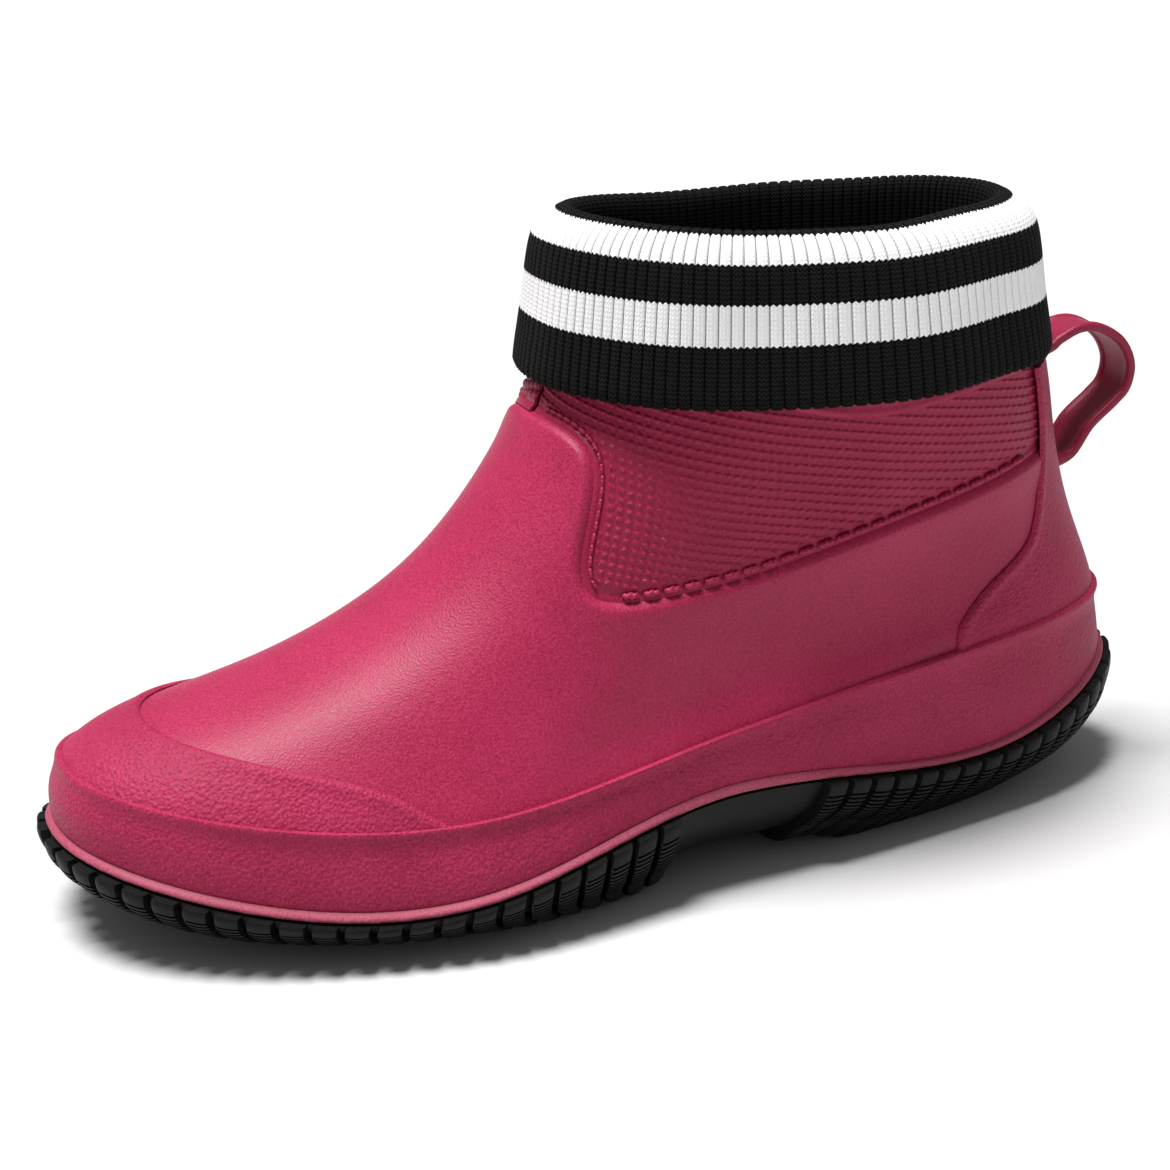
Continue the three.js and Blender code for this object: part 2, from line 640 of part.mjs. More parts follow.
const loopReachFromPivots = loopReach - loopTabLength;
const loopCurve = new THREE.CatmullRomCurve3(loopOutline.map(([up, out]) => (
  lowerPivot.clone().addScaledVector(chord, up).addScaledVector(outward, out * loopReachFromPivots)
)), false, 'centripetal');
const across = new THREE.Vector3(1, 0, 0);
const trim = 0.02;
const loopAt = (a) => loopCurve.getPointAt(mix(trim, 1 - trim, a));
const loopSheet = (side) => (a, b) => {
  const tangent = loopCurve.getTangentAt(mix(trim, 1 - trim, a));
  return loopAt(a).addScaledVector(tangent.cross(across).normalize(), side * loopThickness / 2)
    .addScaledVector(across, (b - 0.5) * loopWidth);
};
addNode('pull_loop', slabSolid(24, 1, loopSheet(1), loopSheet(-1)), pinkRubber);

// Each tab stops short of the pivot line, so that the strap's corners clear it as the loop sways.
const tabGap = loopThickness;
for (const [name, up, pivot] of [['lower', lowerUp, lowerPivot], ['upper', upperUp, upperPivot]]) {
  const root = skin(0, up, counterFace + gap);
  const normal = pivot.clone().sub(root).normalize();
  const upward = across.clone().cross(normal).normalize();
  const tabSheet = (side) => (a, b) => (
    root.clone().addScaledVector(normal, mix(0, loopTabLength - tabGap, a))
      .addScaledVector(upward, side * mix(loopThickness, loopThickness / 2, a))
      .addScaledVector(across, (b - 0.5) * loopWidth)
  );
  addNode(`loop_tab_${name}`, slabSolid(1, 1, tabSheet(1), tabSheet(-1)), pinkRubber);
}

// The origin is the middle of the boot's box, on the ground.
const bounds = new THREE.Box3().setFromObject(boot);
const middleOfBox = bounds.getCenter(new THREE.Vector3());
boot.position.set(-middleOfBox.x, -middleOfBox.y, -bounds.min.z);

export default boot;
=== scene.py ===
import math

import bpy
import numpy as np
from mathutils import Matrix, Vector, kdtree


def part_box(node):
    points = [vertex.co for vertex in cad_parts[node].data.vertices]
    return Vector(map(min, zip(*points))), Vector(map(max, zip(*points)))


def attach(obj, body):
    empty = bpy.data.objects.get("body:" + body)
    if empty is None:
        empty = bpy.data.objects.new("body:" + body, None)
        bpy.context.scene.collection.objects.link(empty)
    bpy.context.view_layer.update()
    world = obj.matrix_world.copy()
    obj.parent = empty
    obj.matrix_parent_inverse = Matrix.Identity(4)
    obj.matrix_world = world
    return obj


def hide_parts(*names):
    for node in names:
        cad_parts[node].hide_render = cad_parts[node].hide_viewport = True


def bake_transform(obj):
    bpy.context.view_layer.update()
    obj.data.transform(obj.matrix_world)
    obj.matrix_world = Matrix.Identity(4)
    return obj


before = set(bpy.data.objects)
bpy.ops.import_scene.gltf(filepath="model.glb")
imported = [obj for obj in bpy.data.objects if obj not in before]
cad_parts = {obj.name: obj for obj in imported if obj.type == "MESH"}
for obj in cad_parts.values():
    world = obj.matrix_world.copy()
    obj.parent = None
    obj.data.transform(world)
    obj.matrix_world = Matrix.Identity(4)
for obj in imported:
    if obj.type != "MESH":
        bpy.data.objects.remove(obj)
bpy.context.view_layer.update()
MM = 0.001
BODY = "boot_body"

# ---------------------------------------------------------------- the last's pattern
SOLE_LENGTH = 270.0
# One row a level, from the feather line to the topline: up, back, front, the heights at the five
# stations from heel to toe, the half widths at heel, waist and ball, and the toe's swing inwards.
LEVELS = np.array([
    [0.00, -3.0, 267.0, 31, 18, 24.5, 12, 24, 35, 41, 52, 8.5],
    [0.10, -2.0, 267.2, 36, 25, 29.5, 17.5, 29, 36.5, 41, 51, 8],
    [0.22, 0.3, 264.6, 47, 45, 38, 28.5, 38, 36.3, 40.5, 47, 7],
    [0.34, 4.6, 249.6, 59, 55, 47.5, 38, 46, 34.5, 37, 43, 6.5],
    [0.46, 10.3, 221.0, 73, 68, 64, 53, 53, 32.5, 35.3, 38, 4],
    [0.58, 15.3, 185.0, 89.5, 84.5, 82, 74, 70, 32, 36, 36, 2],
    [0.72, 19.3, 157.0, 105, 103, 101, 99.5, 101, 33, 37, 37.5, 1.5],
    [0.86, 23.6, 146.5, 121, 120, 119, 119, 121, 33, 37.5, 36.5, 1.5],
    [1.00, 26.0, 142.5, 136, 135, 134, 135, 137, 31.5, 36.5, 34.5, 1],
])
CUFF_LEVEL = np.array([26, 147, -1, -1.5, -2, -1, 1.5, 31, 38.5, 35, 1])
CONTACT_LEVEL = np.array([20, 240, 0, 0, 0, 0, 0, 27, 31, 41, 7])
LUG_HEIGHT = 3.5
# The inner side lies a little nearer the middle line than the outer one.
INNER_SHARE = 0.96
# How much of the length the heel's and the toe's round take.
HEEL_ROUND = 0.30
TOE_ROUND = 0.38


def spline_weights(knots):
    """How much each knot counts at x on the natural cubic spline through them."""
    knots = np.array(knots, float)
    count = len(knots)
    gaps = np.diff(knots)
    stiff = np.eye(count)
    slopes = np.zeros((count, count))
    for i in range(1, count - 1):
        stiff[i, i - 1:i + 2] = gaps[i - 1] / 6, (gaps[i - 1] + gaps[i]) / 3, gaps[i] / 6
        slopes[i, i - 1:i + 2] = 1 / gaps[i - 1], -1 / gaps[i - 1] - 1 / gaps[i], 1 / gaps[i]
    bends = np.linalg.solve(stiff, slopes)

    def weights(x):
        x = np.asarray(x, float).ravel()
        k = np.clip(np.searchsorted(knots, x), 1, count - 1)
        gap = gaps[k - 1]
        a = (knots[k] - x) / gap
        b = 1 - a
        found = ((a**3 - a) * gap**2 / 6)[:, None] * bends[k - 1]
        found += ((b**3 - b) * gap**2 / 6)[:, None] * bends[k]
        rows = np.arange(len(x))
        found[rows, k - 1] += a
        found[rows, k] += b
        return found

    return weights


def spline(knots, values):
    weights = spline_weights(knots)
    return lambda x: weights(x) @ np.array(values, float)


level_weights = spline_weights(LEVELS[:, 0])
station_weights = spline_weights([0, 0.18, 0.45, 0.75, 1])


def mix(a, b, t):
    return a + (b - a) * t


def ease(x, start, end):
    t = np.clip((x - start) / (end - start), 0, 1)
    return t * t * (3 - 2 * t)


def fullness(t):
    """Fullness of the plan outline: 0 at heel and toe, 1 along the sides."""
    heel = np.clip(1 - t / HEEL_ROUND, 0, 1)
    toe = np.clip(1 - (1 - t) / TOE_ROUND, 0, 1)
    return (1 - heel**2.2) ** (1 / 2.2) * (1 - toe**2.25) ** (1 / 2.25)


def outline(level, around, out=0.0):
    """Points on a level's outline. around goes from 0 at the heel's back by the outer side to the toe."""
    turn = 2 * np.pi * around
    t = (1 - np.cos(turn)) / 2
    side = np.sign(np.round(np.sin(turn), 9))
    back, front, heel, waist, ball, toe_in = (level[..., i] for i in (0, 1, 7, 8, 9, 10))
    half = mix(mix(heel, waist, ease(t, 0.18, 0.45)), ball, ease(t, 0.45, 0.72)) + out
    along = mix(back - out, front + out, t)
    across = side * np.where(side < 0, INNER_SHARE, 1.0) * half * fullness(t) - toe_in * ease(t, 0.45, 1)
    height = (station_weights(t) * level[..., 2:7]).sum(-1)
    return np.stack([across, SOLE_LENGTH / 2 - along, height], -1)


def spread(*values):
    """The values as flat arrays of one length."""
    return [np.ravel(v).astype(float) for v in np.broadcast_arrays(*values)]


def skin_point(around, up):
    return outline(level_weights(up) @ LEVELS[:, 1:], around)


def skin_normal(around, up):
    step = 0.004
    along = skin_point(around + step, up) - skin_point(around - step, up)
    upward = skin_point(around, up + step) - skin_point(around, up - step)
    normal = np.cross(upward, along)
    return normal / np.linalg.norm(normal, axis=1)[:, None]


def skin(around, up, lift=0.0):
    """Points on the upper's outer skin, moved out along its normal by lift."""
    around, up, lift = spread(around, up, lift)
    return skin_point(around, up) + skin_normal(around, up) * lift[:, None]


def feather(around, out, rise):
    """Points by the feather line, where the upper meets the bottom."""
    around, out, rise = spread(around, out, rise)
    point = outline(np.broadcast_to(LEVELS[0, 1:], (len(around), 11)), around, out)
    point[:, 2] += rise
    return point


def cuff(around, out, height):
    around, out, height = spread(around, out, height)
    point = outline(np.broadcast_to(CUFF_LEVEL, (len(around), 11)), around, out)
    point[:, 2] += height
    return point


def folded(around):
    around = np.mod(around, 1)
    return np.minimum(around, 1 - around)


# Feature lines of the upper, as heights over the way round it.
CREST = 0.235
COLLAR_LINE = 0.775
PANEL_END = 0.108
panel_line = spline(
    [0.108, 0.15, 0.20, 0.256, 0.31, 0.35, 0.372, 0.39, 0.41, 0.44, 0.5],
    [0.595, 0.585, 0.562, 0.540, 0.556, 0.577, 0.605, 0.645, 0.705, 0.748, 0.762],
)
collar_edge = spline(
    [0, 0.10, 0.13, 0.17, 0.225, 0.26, 0.30, 0.35, 0.42, 0.5],
    [0.782, 0.782, 0.780, 0.773, 0.764, 0.772, 0.800, 0.828, 0.84, 0.84],
)
TOE_CAP_END = 0.325
toe_cap_line = spline(
    [0.325, 0.343, 0.363, 0.40, 0.45, 0.5], [0.237, 0.300, 0.335, 0.355, 0.360, 0.358])
counter_half = spline(
    [0.235, 0.30, 0.36, 0.40, 0.435, 0.47, 0.52, 0.60, 0.68, 0.775],
    [0.156, 0.154, 0.146, 0.133, 0.114, 0.104, 0.098, 0.094, 0.098, 0.104],
)

# The frame's own place: the loop gives the middle across, the cuff the middle along.
loop_low, loop_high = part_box("pull_loop")
cuff_low, cuff_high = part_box("knit_cuff")
CUFF_MIDDLE = 48.5
shift = np.array([
    (loop_low.x + loop_high.x) / 2,
    (cuff_low.y + cuff_high.y) / 2 - CUFF_MIDDLE * MM,
    0.0,
])


def in_frame(points):
    return points * MM + shift


# ---------------------------------------------------------------- making pieces
def deselect():
    bpy.ops.object.select_all(action="DESELECT")


def read_points(piece):
    points = np.zeros(len(piece.data.vertices) * 3)
    piece.data.vertices.foreach_get("co", points)
    return points.reshape(-1, 3)


def write_points(piece, points):
    piece.data.vertices.foreach_set("co", np.asarray(points, float).ravel())
    piece.data.update()


def edit(piece, *steps):
    """Runs edit-mode steps on the whole piece."""
    deselect()
    bpy.context.view_layer.objects.active = piece
    piece.select_set(True)
    bpy.ops.object.mode_set(mode="EDIT")
    bpy.ops.mesh.select_all(action="SELECT")
    for step in steps:
        step()
    bpy.ops.object.mode_set(mode="OBJECT")


def weld():
    bpy.ops.mesh.remove_doubles(threshold=2e-6)


def turn_over():
    bpy.ops.mesh.flip_normals()


def face_outwards():
    bpy.ops.mesh.normals_make_consistent(inside=False)


def apply_modifier(piece, kind, **settings):
    deselect()
    bpy.context.view_layer.objects.active = piece
    piece.select_set(True)
    modifier = piece.modifiers.new(kind.title(), kind)
    for name, value in settings.items():
        setattr(modifier, name, value)
    bpy.ops.object.modifier_apply(modifier=modifier.name)


def smooth(piece, angle=40):
    deselect()
    bpy.context.view_layer.objects.active = piece
    piece.select_set(True)
    bpy.ops.object.shade_smooth_by_angle(angle=math.radians(angle))


def finish_piece(piece, material, nodes=(), body=BODY, angle=40):
    smooth(piece, angle)
    piece.data.materials.clear()
    piece.data.materials.append(material)
    if body:
        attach(piece, body)
    if nodes:
        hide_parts(*nodes)
    return piece


def lay_grid(name, columns, rows, place):
    """A grid laid where place(a, b) says, a running round the boot and b up it. It needs moving point by
    point, because the last has no flat or round face that an operator could follow."""
    deselect()
    bpy.ops.mesh.primitive_grid_add(x_subdivisions=columns, y_subdivisions=rows, size=2)
    piece = bpy.context.object
    piece.name = name
    piece.data.name = name
    flat = read_points(piece)
    a = (flat[:, 0] + 1) / 2
    b = (flat[:, 1] + 1) / 2
    write_points(piece, in_frame(place(a, b)))
    return piece


def lay_sheet(name, columns, rows, place, thickness):
    """A laid sheet of that thickness, its outer face where place(a, b) says."""
    piece = lay_grid(name, columns, rows, place)
    edit(piece, weld, turn_over)
    apply_modifier(piece, "SOLIDIFY", thickness=thickness * MM, offset=-1)
    return piece


def lay_ring(name, columns, rows, place):
    """A closed ring round the boot, b running round its section."""
    piece = lay_grid(name, columns, rows, place)
    edit(piece, weld, face_outwards)
    return piece


def path_at(points, share, closed=False):
    """Points along a smooth line through points, evenly by length. share goes from 0 to 1."""
    points = np.array(points, float)
    if closed:
        points = np.vstack([points[-2:], points, points[:3]])
    fine = []
    for i in range(len(points) - 1):
        before = points[max(i - 1, 0)]
        after = points[min(i + 2, len(points) - 1)]
        start, end = points[i], points[i + 1]
        for t in np.arange(0, 1, 0.05):
            t2, t3 = t * t, t**3
            fine.append(
                start * (2 * t3 - 3 * t2 + 1) + end * (3 * t2 - 2 * t3)
                + (end - before) * 0.5 * (t3 - 2 * t2 + t) + (after - start) * 0.5 * (t3 - t2))
    fine.append(points[-1])
    fine = np.array(fine)
    if closed:
        fine = fine[40:-40]
    lengths = np.concatenate([[0], np.cumsum(np.linalg.norm(np.diff(fine, axis=0), axis=1))])
    at = np.asarray(share) * lengths[-1]
    return np.stack([np.interp(at, lengths, fine[:, k]) for k in range(fine.shape[1])], -1)


def path_length(points, closed=False):
    line = path_at(points, np.linspace(0, 1, 400), closed)
    return np.linalg.norm(np.diff(line, axis=0), axis=1).sum()


def distance_from(points, line):
    """How far each point is from a line of points."""
    tree = kdtree.KDTree(len(line))
    for i, p in enumerate(line):
        tree.insert(p, i)
    tree.balance()
    return np.array([tree.find(p)[2] for p in points])


# ---------------------------------------------------------------- materials
def colour(code):
    """An sRGB hex colour as linear light."""
    parts = [int(code[i:i + 2], 16) / 255 for i in (1, 3, 5)]
    return [c / 12.92 if c <= 0.04045 else ((c + 0.055) / 1.055) ** 2.4 for c in parts] + [1.0]


def add_node(tree, kind, settings=None, **inputs):
    """Adds a node. An input is named, or numbered as in0; its value is a number, a colour, a socket,
    or a node, which stands for its first output."""
    node = tree.nodes.new(kind)
    for name, value in (settings or {}).items():
        setattr(node, name, value)
    for name, value in inputs.items():
        socket = node.inputs[int(name[2:])] if name.startswith("in") else node.inputs[name.replace("_", " ")]
        if isinstance(value, bpy.types.Node):
            value = value.outputs[0]
        if isinstance(value, bpy.types.NodeSocket):
            tree.links.new(value, socket)
        else:
            socket.default_value = value
    return node


def new_material(name, roughness, ior=1.5, specular=0.5, sheen=0.0):
    material = bpy.data.materials.new(name)
    material.use_nodes = True
    tree = material.node_tree
    shader = tree.nodes["Principled BSDF"]
    shader.inputs["Roughness"].default_value = roughness
    shader.inputs["IOR"].default_value = ior
    shader.inputs["Specular IOR Level"].default_value = specular
    shader.inputs["Sheen Weight"].default_value = sheen
    return material, tree, shader


def moulded_rubber(name, dark, light, roughness, grain_mm, grain_depth, specular=0.25):
    """Moulded rubber: mottled colour, a fine speckle from the mould's blasting, and its grain."""
    material, tree, shader = new_material(name, roughness, 1.5, specular)
    where = add_node(tree, "ShaderNodeTexCoord").outputs["Object"]
    mottle = add_node(
        tree, "ShaderNodeTexNoise", {}, Vector=where, Scale=1000 / 22, Detail=3.0, Roughness=0.5)
    speckle = add_node(
        tree, "ShaderNodeTexNoise", {}, Vector=where, Scale=1000 / 0.55, Detail=1.0, Roughness=0.5)
    faint = add_node(tree, "ShaderNodeMath", {"operation": "MULTIPLY"}, in0=mottle, in1=0.25)
    both = add_node(tree, "ShaderNodeMath", {"operation": "MULTIPLY_ADD"}, in0=speckle, in1=0.75, in2=faint)
    share = add_node(tree, "ShaderNodeMapRange", {}, Value=both, From_Min=0.35, From_Max=0.65)
    base = add_node(
        tree, "ShaderNodeMix", {"data_type": "RGBA"}, Factor=share, in6=colour(dark), in7=colour(light))
    tree.links.new(base.outputs[2], shader.inputs["Base Color"])
    shine = add_node(
        tree, "ShaderNodeMapRange", {}, Value=speckle, From_Min=0.3, From_Max=0.7,
        To_Min=roughness - 0.05, To_Max=roughness + 0.09)
    tree.links.new(shine.outputs[0], shader.inputs["Roughness"])
    cells = add_node(
        tree, "ShaderNodeTexVoronoi", {"feature": "SMOOTH_F1"}, Vector=where, Scale=1000 / grain_mm,
        Smoothness=0.6)
    dents = add_node(
        tree, "ShaderNodeTexNoise", {}, Vector=where, Scale=1000 / (grain_mm * 0.6), Detail=2.0,
        Roughness=0.5)
    grain = add_node(tree, "ShaderNodeMath", {"operation": "MULTIPLY_ADD"}, in0=dents, in1=0.5, in2=cells)
    bump = add_node(tree, "ShaderNodeBump", {}, Strength=1.0, Distance=grain_depth * MM, Height=grain)
    tree.links.new(bump.outputs[0], shader.inputs["Normal"])
    return material


# Natural rubber compound, pressed in a polished mould: a broad soft shine and a dust-fine speckle.
VAMP_RUBBER = moulded_rubber("pressed_rubber_polished", "#941d40", "#b02b55", 0.44, 0.5, 0.07)
# The same compound from an etched mould: a leather-like grain of 0.85 mm cells that breaks up the shine.
GRAIN_RUBBER = moulded_rubber("pressed_rubber_grained", "#901f40", "#b03058", 0.50, 0.85, 0.26, 0.15)
# The same compound from a mould cut with small bars; the ground between them is finely blasted.
PANEL_RUBBER = moulded_rubber("pressed_rubber_barred", "#8c1e3c", "#a0284a", 0.42, 0.5, 0.04, 0.18)
# The collar under the cuff, from the polished mould with a fine hatch cut in it.
COLLAR_RUBBER = moulded_rubber("pressed_rubber_collar", "#951f3f", "#a8284e", 0.42, 0.6, 0.02)
# The welt bead is filled with a paler compound and stays matt, with a sandy speckle.
BEAD_RUBBER = moulded_rubber("pressed_rubber_pale_bead", "#97394f", "#ab5268", 0.55, 0.6, 0.05)
# The strap is pressed in a polished mould and handled, so it is the glossiest.
LOOP_RUBBER = moulded_rubber("pressed_rubber_strap", "#841a37", "#962244", 0.40, 0.8, 0.02)
# Carbon-black rubber outsole: near black, a dull shine, a faint mould texture of 0.7 mm.
SOLE_RUBBER = moulded_rubber("carbon_black_rubber", "#060707", "#0c0e0e", 0.5, 0.7, 0.03, 0.2)


def rib_knit():
    """Acrylic rib knit with yarn-dyed stripes. The UV map counts ribs round the cuff and millimetres
    along the cloth, so the stripes end in the small teeth that the stitches make."""
    material, tree, shader = new_material("rib_knit_acrylic_striped", 0.95, 1.4, 0.2)
    maths = "ShaderNodeMath"
    coordinates = add_node(tree, "ShaderNodeTexCoord")
    place = add_node(tree, "ShaderNodeSeparateXYZ", {}, Vector=coordinates.outputs["UV"])
    ribs = place.outputs["X"]
    along = place.outputs["Y"]

    # Each rib holds a few wales, columns of V-shaped stitches; vee is 0 in a wale's middle.
    wales = add_node(tree, maths, {"operation": "MULTIPLY"}, in0=ribs, in1=WALES_PER_RIB)
    wale = add_node(tree, maths, {"operation": "FRACT"}, in0=wales)
    off_wale = add_node(tree, maths, {"operation": "SUBTRACT"}, in0=wale, in1=0.5)
    vee = add_node(tree, maths, {"operation": "ABSOLUTE"}, in0=off_wale)

    # Two teeth a rib on the stripes' edges.
    halves = add_node(tree, maths, {"operation": "MULTIPLY"}, in0=ribs, in1=2.0)
    half = add_node(tree, maths, {"operation": "FRACT"}, in0=halves)
    off_half = add_node(tree, maths, {"operation": "SUBTRACT"}, in0=half, in1=0.5)
    tooth = add_node(tree, maths, {"operation": "ABSOLUTE"}, in0=off_half)
    toothed = add_node(tree, maths, {"operation": "MULTIPLY_ADD"}, in0=tooth, in1=STRIPE_TOOTH, in2=along)
    stripes = []
    for low, high in WHITE_STRIPES:
        past_low = add_node(tree, maths, {"operation": "GREATER_THAN"}, in0=toothed, in1=low)
        before_high = add_node(tree, maths, {"operation": "LESS_THAN"}, in0=toothed, in1=high)
        stripes.append(add_node(tree, maths, {"operation": "MULTIPLY"}, in0=past_low, in1=before_high))
    white = add_node(tree, maths, {"operation": "MAXIMUM"}, in0=stripes[0], in1=stripes[1])

    # The courses run across the wales, a course being one row of stitches.
    courses = add_node(tree, maths, {"operation": "DIVIDE"}, in0=along, in1=COURSE_MM)
    slanted = add_node(tree, maths, {"operation": "MULTIPLY_ADD"}, in0=vee, in1=1.1, in2=courses)
    course = add_node(tree, maths, {"operation": "FRACT"}, in0=slanted)
    # The middle of each stitch and the yarn's fuzz are painted lighter: painted highlights and glints on the
    # black.
    stitch = add_node(tree, maths, {"operation": "PINGPONG"}, in0=course, in1=0.5)
    fuzz = add_node(
        tree, "ShaderNodeTexNoise", {}, Vector=coordinates.outputs["Object"], Scale=1000 / 0.5, Detail=3.0,
        Roughness=0.65)
    painted_fuzz_glint = add_node(tree, maths, {"operation": "MULTIPLY"}, in0=fuzz, in1=0.6)
    painted_stitch_and_fuzz_highlight = add_node(tree, maths, {"operation": "ADD"}, in0=stitch, in1=painted_fuzz_glint)

    # Painted shade darkens the groove between two ribs; the mask is 0 in the groove and 1 on the rib.
    shifted = add_node(tree, maths, {"operation": "ADD"}, in0=ribs, in1=0.5)
    rib = add_node(tree, maths, {"operation": "FRACT"}, in0=shifted)
    off_rib = add_node(tree, maths, {"operation": "SUBTRACT"}, in0=rib, in1=0.5)
    from_groove = add_node(tree, maths, {"operation": "ABSOLUTE"}, in0=off_rib)
    painted_groove_shade_mask = add_node(tree, "ShaderNodeMapRange", {}, Value=from_groove, From_Min=0.015, From_Max=0.09)
    painted_highlight_and_groove_shade = add_node(tree, maths, {"operation": "MULTIPLY"}, in0=painted_stitch_and_fuzz_highlight, in1=painted_groove_shade_mask)
    painted_light_share = add_node(tree, "ShaderNodeMapRange", {}, Value=painted_highlight_and_groove_shade, From_Min=0.4, From_Max=1.0)
    # The black yarn runs from near black in the painted groove shade to dark grey in the painted highlights.
    black = add_node(
        tree, "ShaderNodeMix", {"data_type": "RGBA"}, Factor=painted_light_share, in6=colour("#010101"),
        in7=colour("#262826"))
    # The white stripes turn grey in the groove: painted shade.
    pale = add_node(
        tree, "ShaderNodeMix", {"data_type": "RGBA"}, Factor=painted_groove_shade_mask, in6=colour("#9c9ea2"),
        in7=colour("#f8f8f8"))
    base = add_node(
        tree, "ShaderNodeMix", {"data_type": "RGBA"}, Factor=white, in6=black.outputs[2],
        in7=pale.outputs[2])
    tree.links.new(base.outputs[2], shader.inputs["Base Color"])

    # The relief: a round wale, the stitches' own bulge, and fuzz.
    bulge = add_node(tree, maths, {"operation": "MULTIPLY_ADD"}, in0=vee, in1=-1.2, in2=0.6)
    knotted = add_node(tree, maths, {"operation": "MULTIPLY_ADD"}, in0=stitch, in1=1.2, in2=bulge)
    height = add_node(tree, maths, {"operation": "MULTIPLY_ADD"}, in0=fuzz, in1=0.5, in2=knotted)
    bump = add_node(tree, "ShaderNodeBump", {}, Strength=0.9, Distance=0.22 * MM, Height=height)
    tree.links.new(bump.outputs[0], shader.inputs["Normal"])
    return material


def woven(name, dark, light, pitch_mm, depth):
    """A fine knitted or woven cloth, from waves in two directions and the fuzz of its yarn."""
    material, tree, shader = new_material(name, 0.95, 1.46, sheen=0.25)
    where = add_node(tree, "ShaderNodeTexCoord").outputs["Object"]
    waves = [
        add_node(
            tree, "ShaderNodeTexWave", {"bands_direction": axis}, Vector=where,
            Scale=1000 / pitch_mm / 3, Distortion=1.5, Detail=1.0).outputs["Fac"]
        for axis in ("Y", "Z")
    ]
    fuzz = add_node(tree, "ShaderNodeTexNoise", {}, Vector=where, Scale=1000 / 0.5, Detail=2.0, Roughness=0.5)
    height = add_node(
        tree, "ShaderNodeMath", {"operation": "MULTIPLY_ADD"}, in0=waves[0], in1=waves[1], in2=fuzz)
    share = add_node(tree, "ShaderNodeMapRange", {}, Value=height, From_Min=0.3, From_Max=1.0)
    base = add_node(
        tree, "ShaderNodeMix", {"data_type": "RGBA"}, Factor=share, in6=colour(dark), in7=colour(light))
    tree.links.new(base.outputs[2], shader.inputs["Base Color"])
    bump = add_node(tree, "ShaderNodeBump", {}, Strength=1.0, Distance=depth * MM, Height=height)
    tree.links.new(bump.outputs[0], shader.inputs["Normal"])
    return material


def grainy(name, dark, light, roughness, cell_mm, depth):
    """Cellular or fibrous board and foam: speckled colour and a pitted surface."""
    material, tree, shader = new_material(name, roughness, 1.48)
    where = add_node(tree, "ShaderNodeTexCoord").outputs["Object"]
    cells = add_node(tree, "ShaderNodeTexVoronoi", {}, Vector=where, Scale=1000 / cell_mm)
    blotches = add_node(
        tree, "ShaderNodeTexNoise", {}, Vector=where, Scale=1000 / (cell_mm * 3), Detail=3.0, Roughness=0.5)
    height = add_node(tree, "ShaderNodeMath", {"operation": "ADD"}, in0=cells, in1=blotches)
    share = add_node(tree, "ShaderNodeMapRange", {}, Value=height, From_Min=0.4, From_Max=1.0)
    base = add_node(
        tree, "ShaderNodeMix", {"data_type": "RGBA"}, Factor=share, in6=colour(dark), in7=colour(light))
    tree.links.new(base.outputs[2], shader.inputs["Base Color"])
    bump = add_node(tree, "ShaderNodeBump", {}, Strength=1.0, Distance=depth * MM, Height=height)
    tree.links.new(bump.outputs[0], shader.inputs["Normal"])
    return material


# ---------------------------------------------------------------- the vamp and quarters
PANEL_FRONT = 0.5


def window_top(f):
    """The vamp's upper edge, which is the panel's lower and front edge."""
    return panel_line(np.maximum(f, PANEL_END))


def panel_edge_line(side):
    """The lower and front edge of a side panel, close-set points on the skin."""
    f = np.linspace(0.06, PANEL_FRONT, 900)
    return skin(f if side > 0 else 1 - f, window_top(f))


EDGES = np.vstack([panel_edge_line(1), panel_edge_line(-1)])
PANEL_RECESS = 1.3
TUCK = 0.006
LIP_WIDTH = 2.6
LIP_SWELL = 0.65
SWELL_FADE = 5.5


def vamp_lift(points):
    """The vamp swells beside the panels and rolls down into their recess."""
    away = distance_from(points, EDGES)
    roll = np.sin(np.clip(away / LIP_WIDTH, 0, 1) * np.pi / 2) ** 0.8
    swell = LIP_SWELL * np.exp(-(np.maximum(away - LIP_WIDTH, 0) / SWELL_FADE) ** 2)
    return np.where(away < LIP_WIDTH, mix(-PANEL_RECESS, LIP_SWELL, roll), swell)


def place_vamp(a, b):
    f = folded(a)
    top = window_top(f)
    up = top - (top - CREST + TUCK) * (1 - b) ** 1.55
    return skin(a, up, vamp_lift(skin(a, up)))


vamp = lay_sheet("vamp_and_quarters_skin", 440, 96, place_vamp, 1.0)
finish_piece(vamp, VAMP_RUBBER, ["vamp_and_quarters"])

# ---------------------------------------------------------------- the side panels
BAR_PITCH = 2.6
BAR_ROW = 2.13
BAR_ROW_SHIFT = -1.62
BAR_LENGTH = 1.9
BAR_WIDTH = 0.85
BAR_HEIGHT = 0.45
# The ground stands this much above the recess, and a channel is sunk along its edge.
PANEL_GROUND = 0.45
CHANNEL_DEPTH = 0.35
ROW_SLOPE = math.radians(10)
BAR_SLOPE = math.radians(6)
round_fine = np.linspace(0, 1, 2001)
round_line = skin(round_fine, 0.68)
round_mm = np.concatenate([[0], np.cumsum(np.linalg.norm(np.diff(round_line, axis=0), axis=1))])


def bars(u, v):
    """Height from 0 to 1 of the moulded bars; u is millimetres towards the toe and v upwards."""
    along = -u * math.cos(ROW_SLOPE) - v * math.sin(ROW_SLOPE)
    across = -u * math.sin(ROW_SLOPE) + v * math.cos(ROW_SLOPE)
    row = np.round(across / BAR_ROW)
    from_row = across - row * BAR_ROW
    shifted = along - row * BAR_ROW_SHIFT
    from_bar = shifted - np.round(shifted / BAR_PITCH) * BAR_PITCH
    turn = ROW_SLOPE - BAR_SLOPE
    p = from_bar * math.cos(turn) - from_row * math.sin(turn)
    q = from_bar * math.sin(turn) + from_row * math.cos(turn)
    reach = np.abs(2 * p / BAR_LENGTH) ** 2.6 + np.abs(2 * q / BAR_WIDTH) ** 2.2
    return np.clip(1.25 - reach, 0, 1) ** 0.6 * 0.9


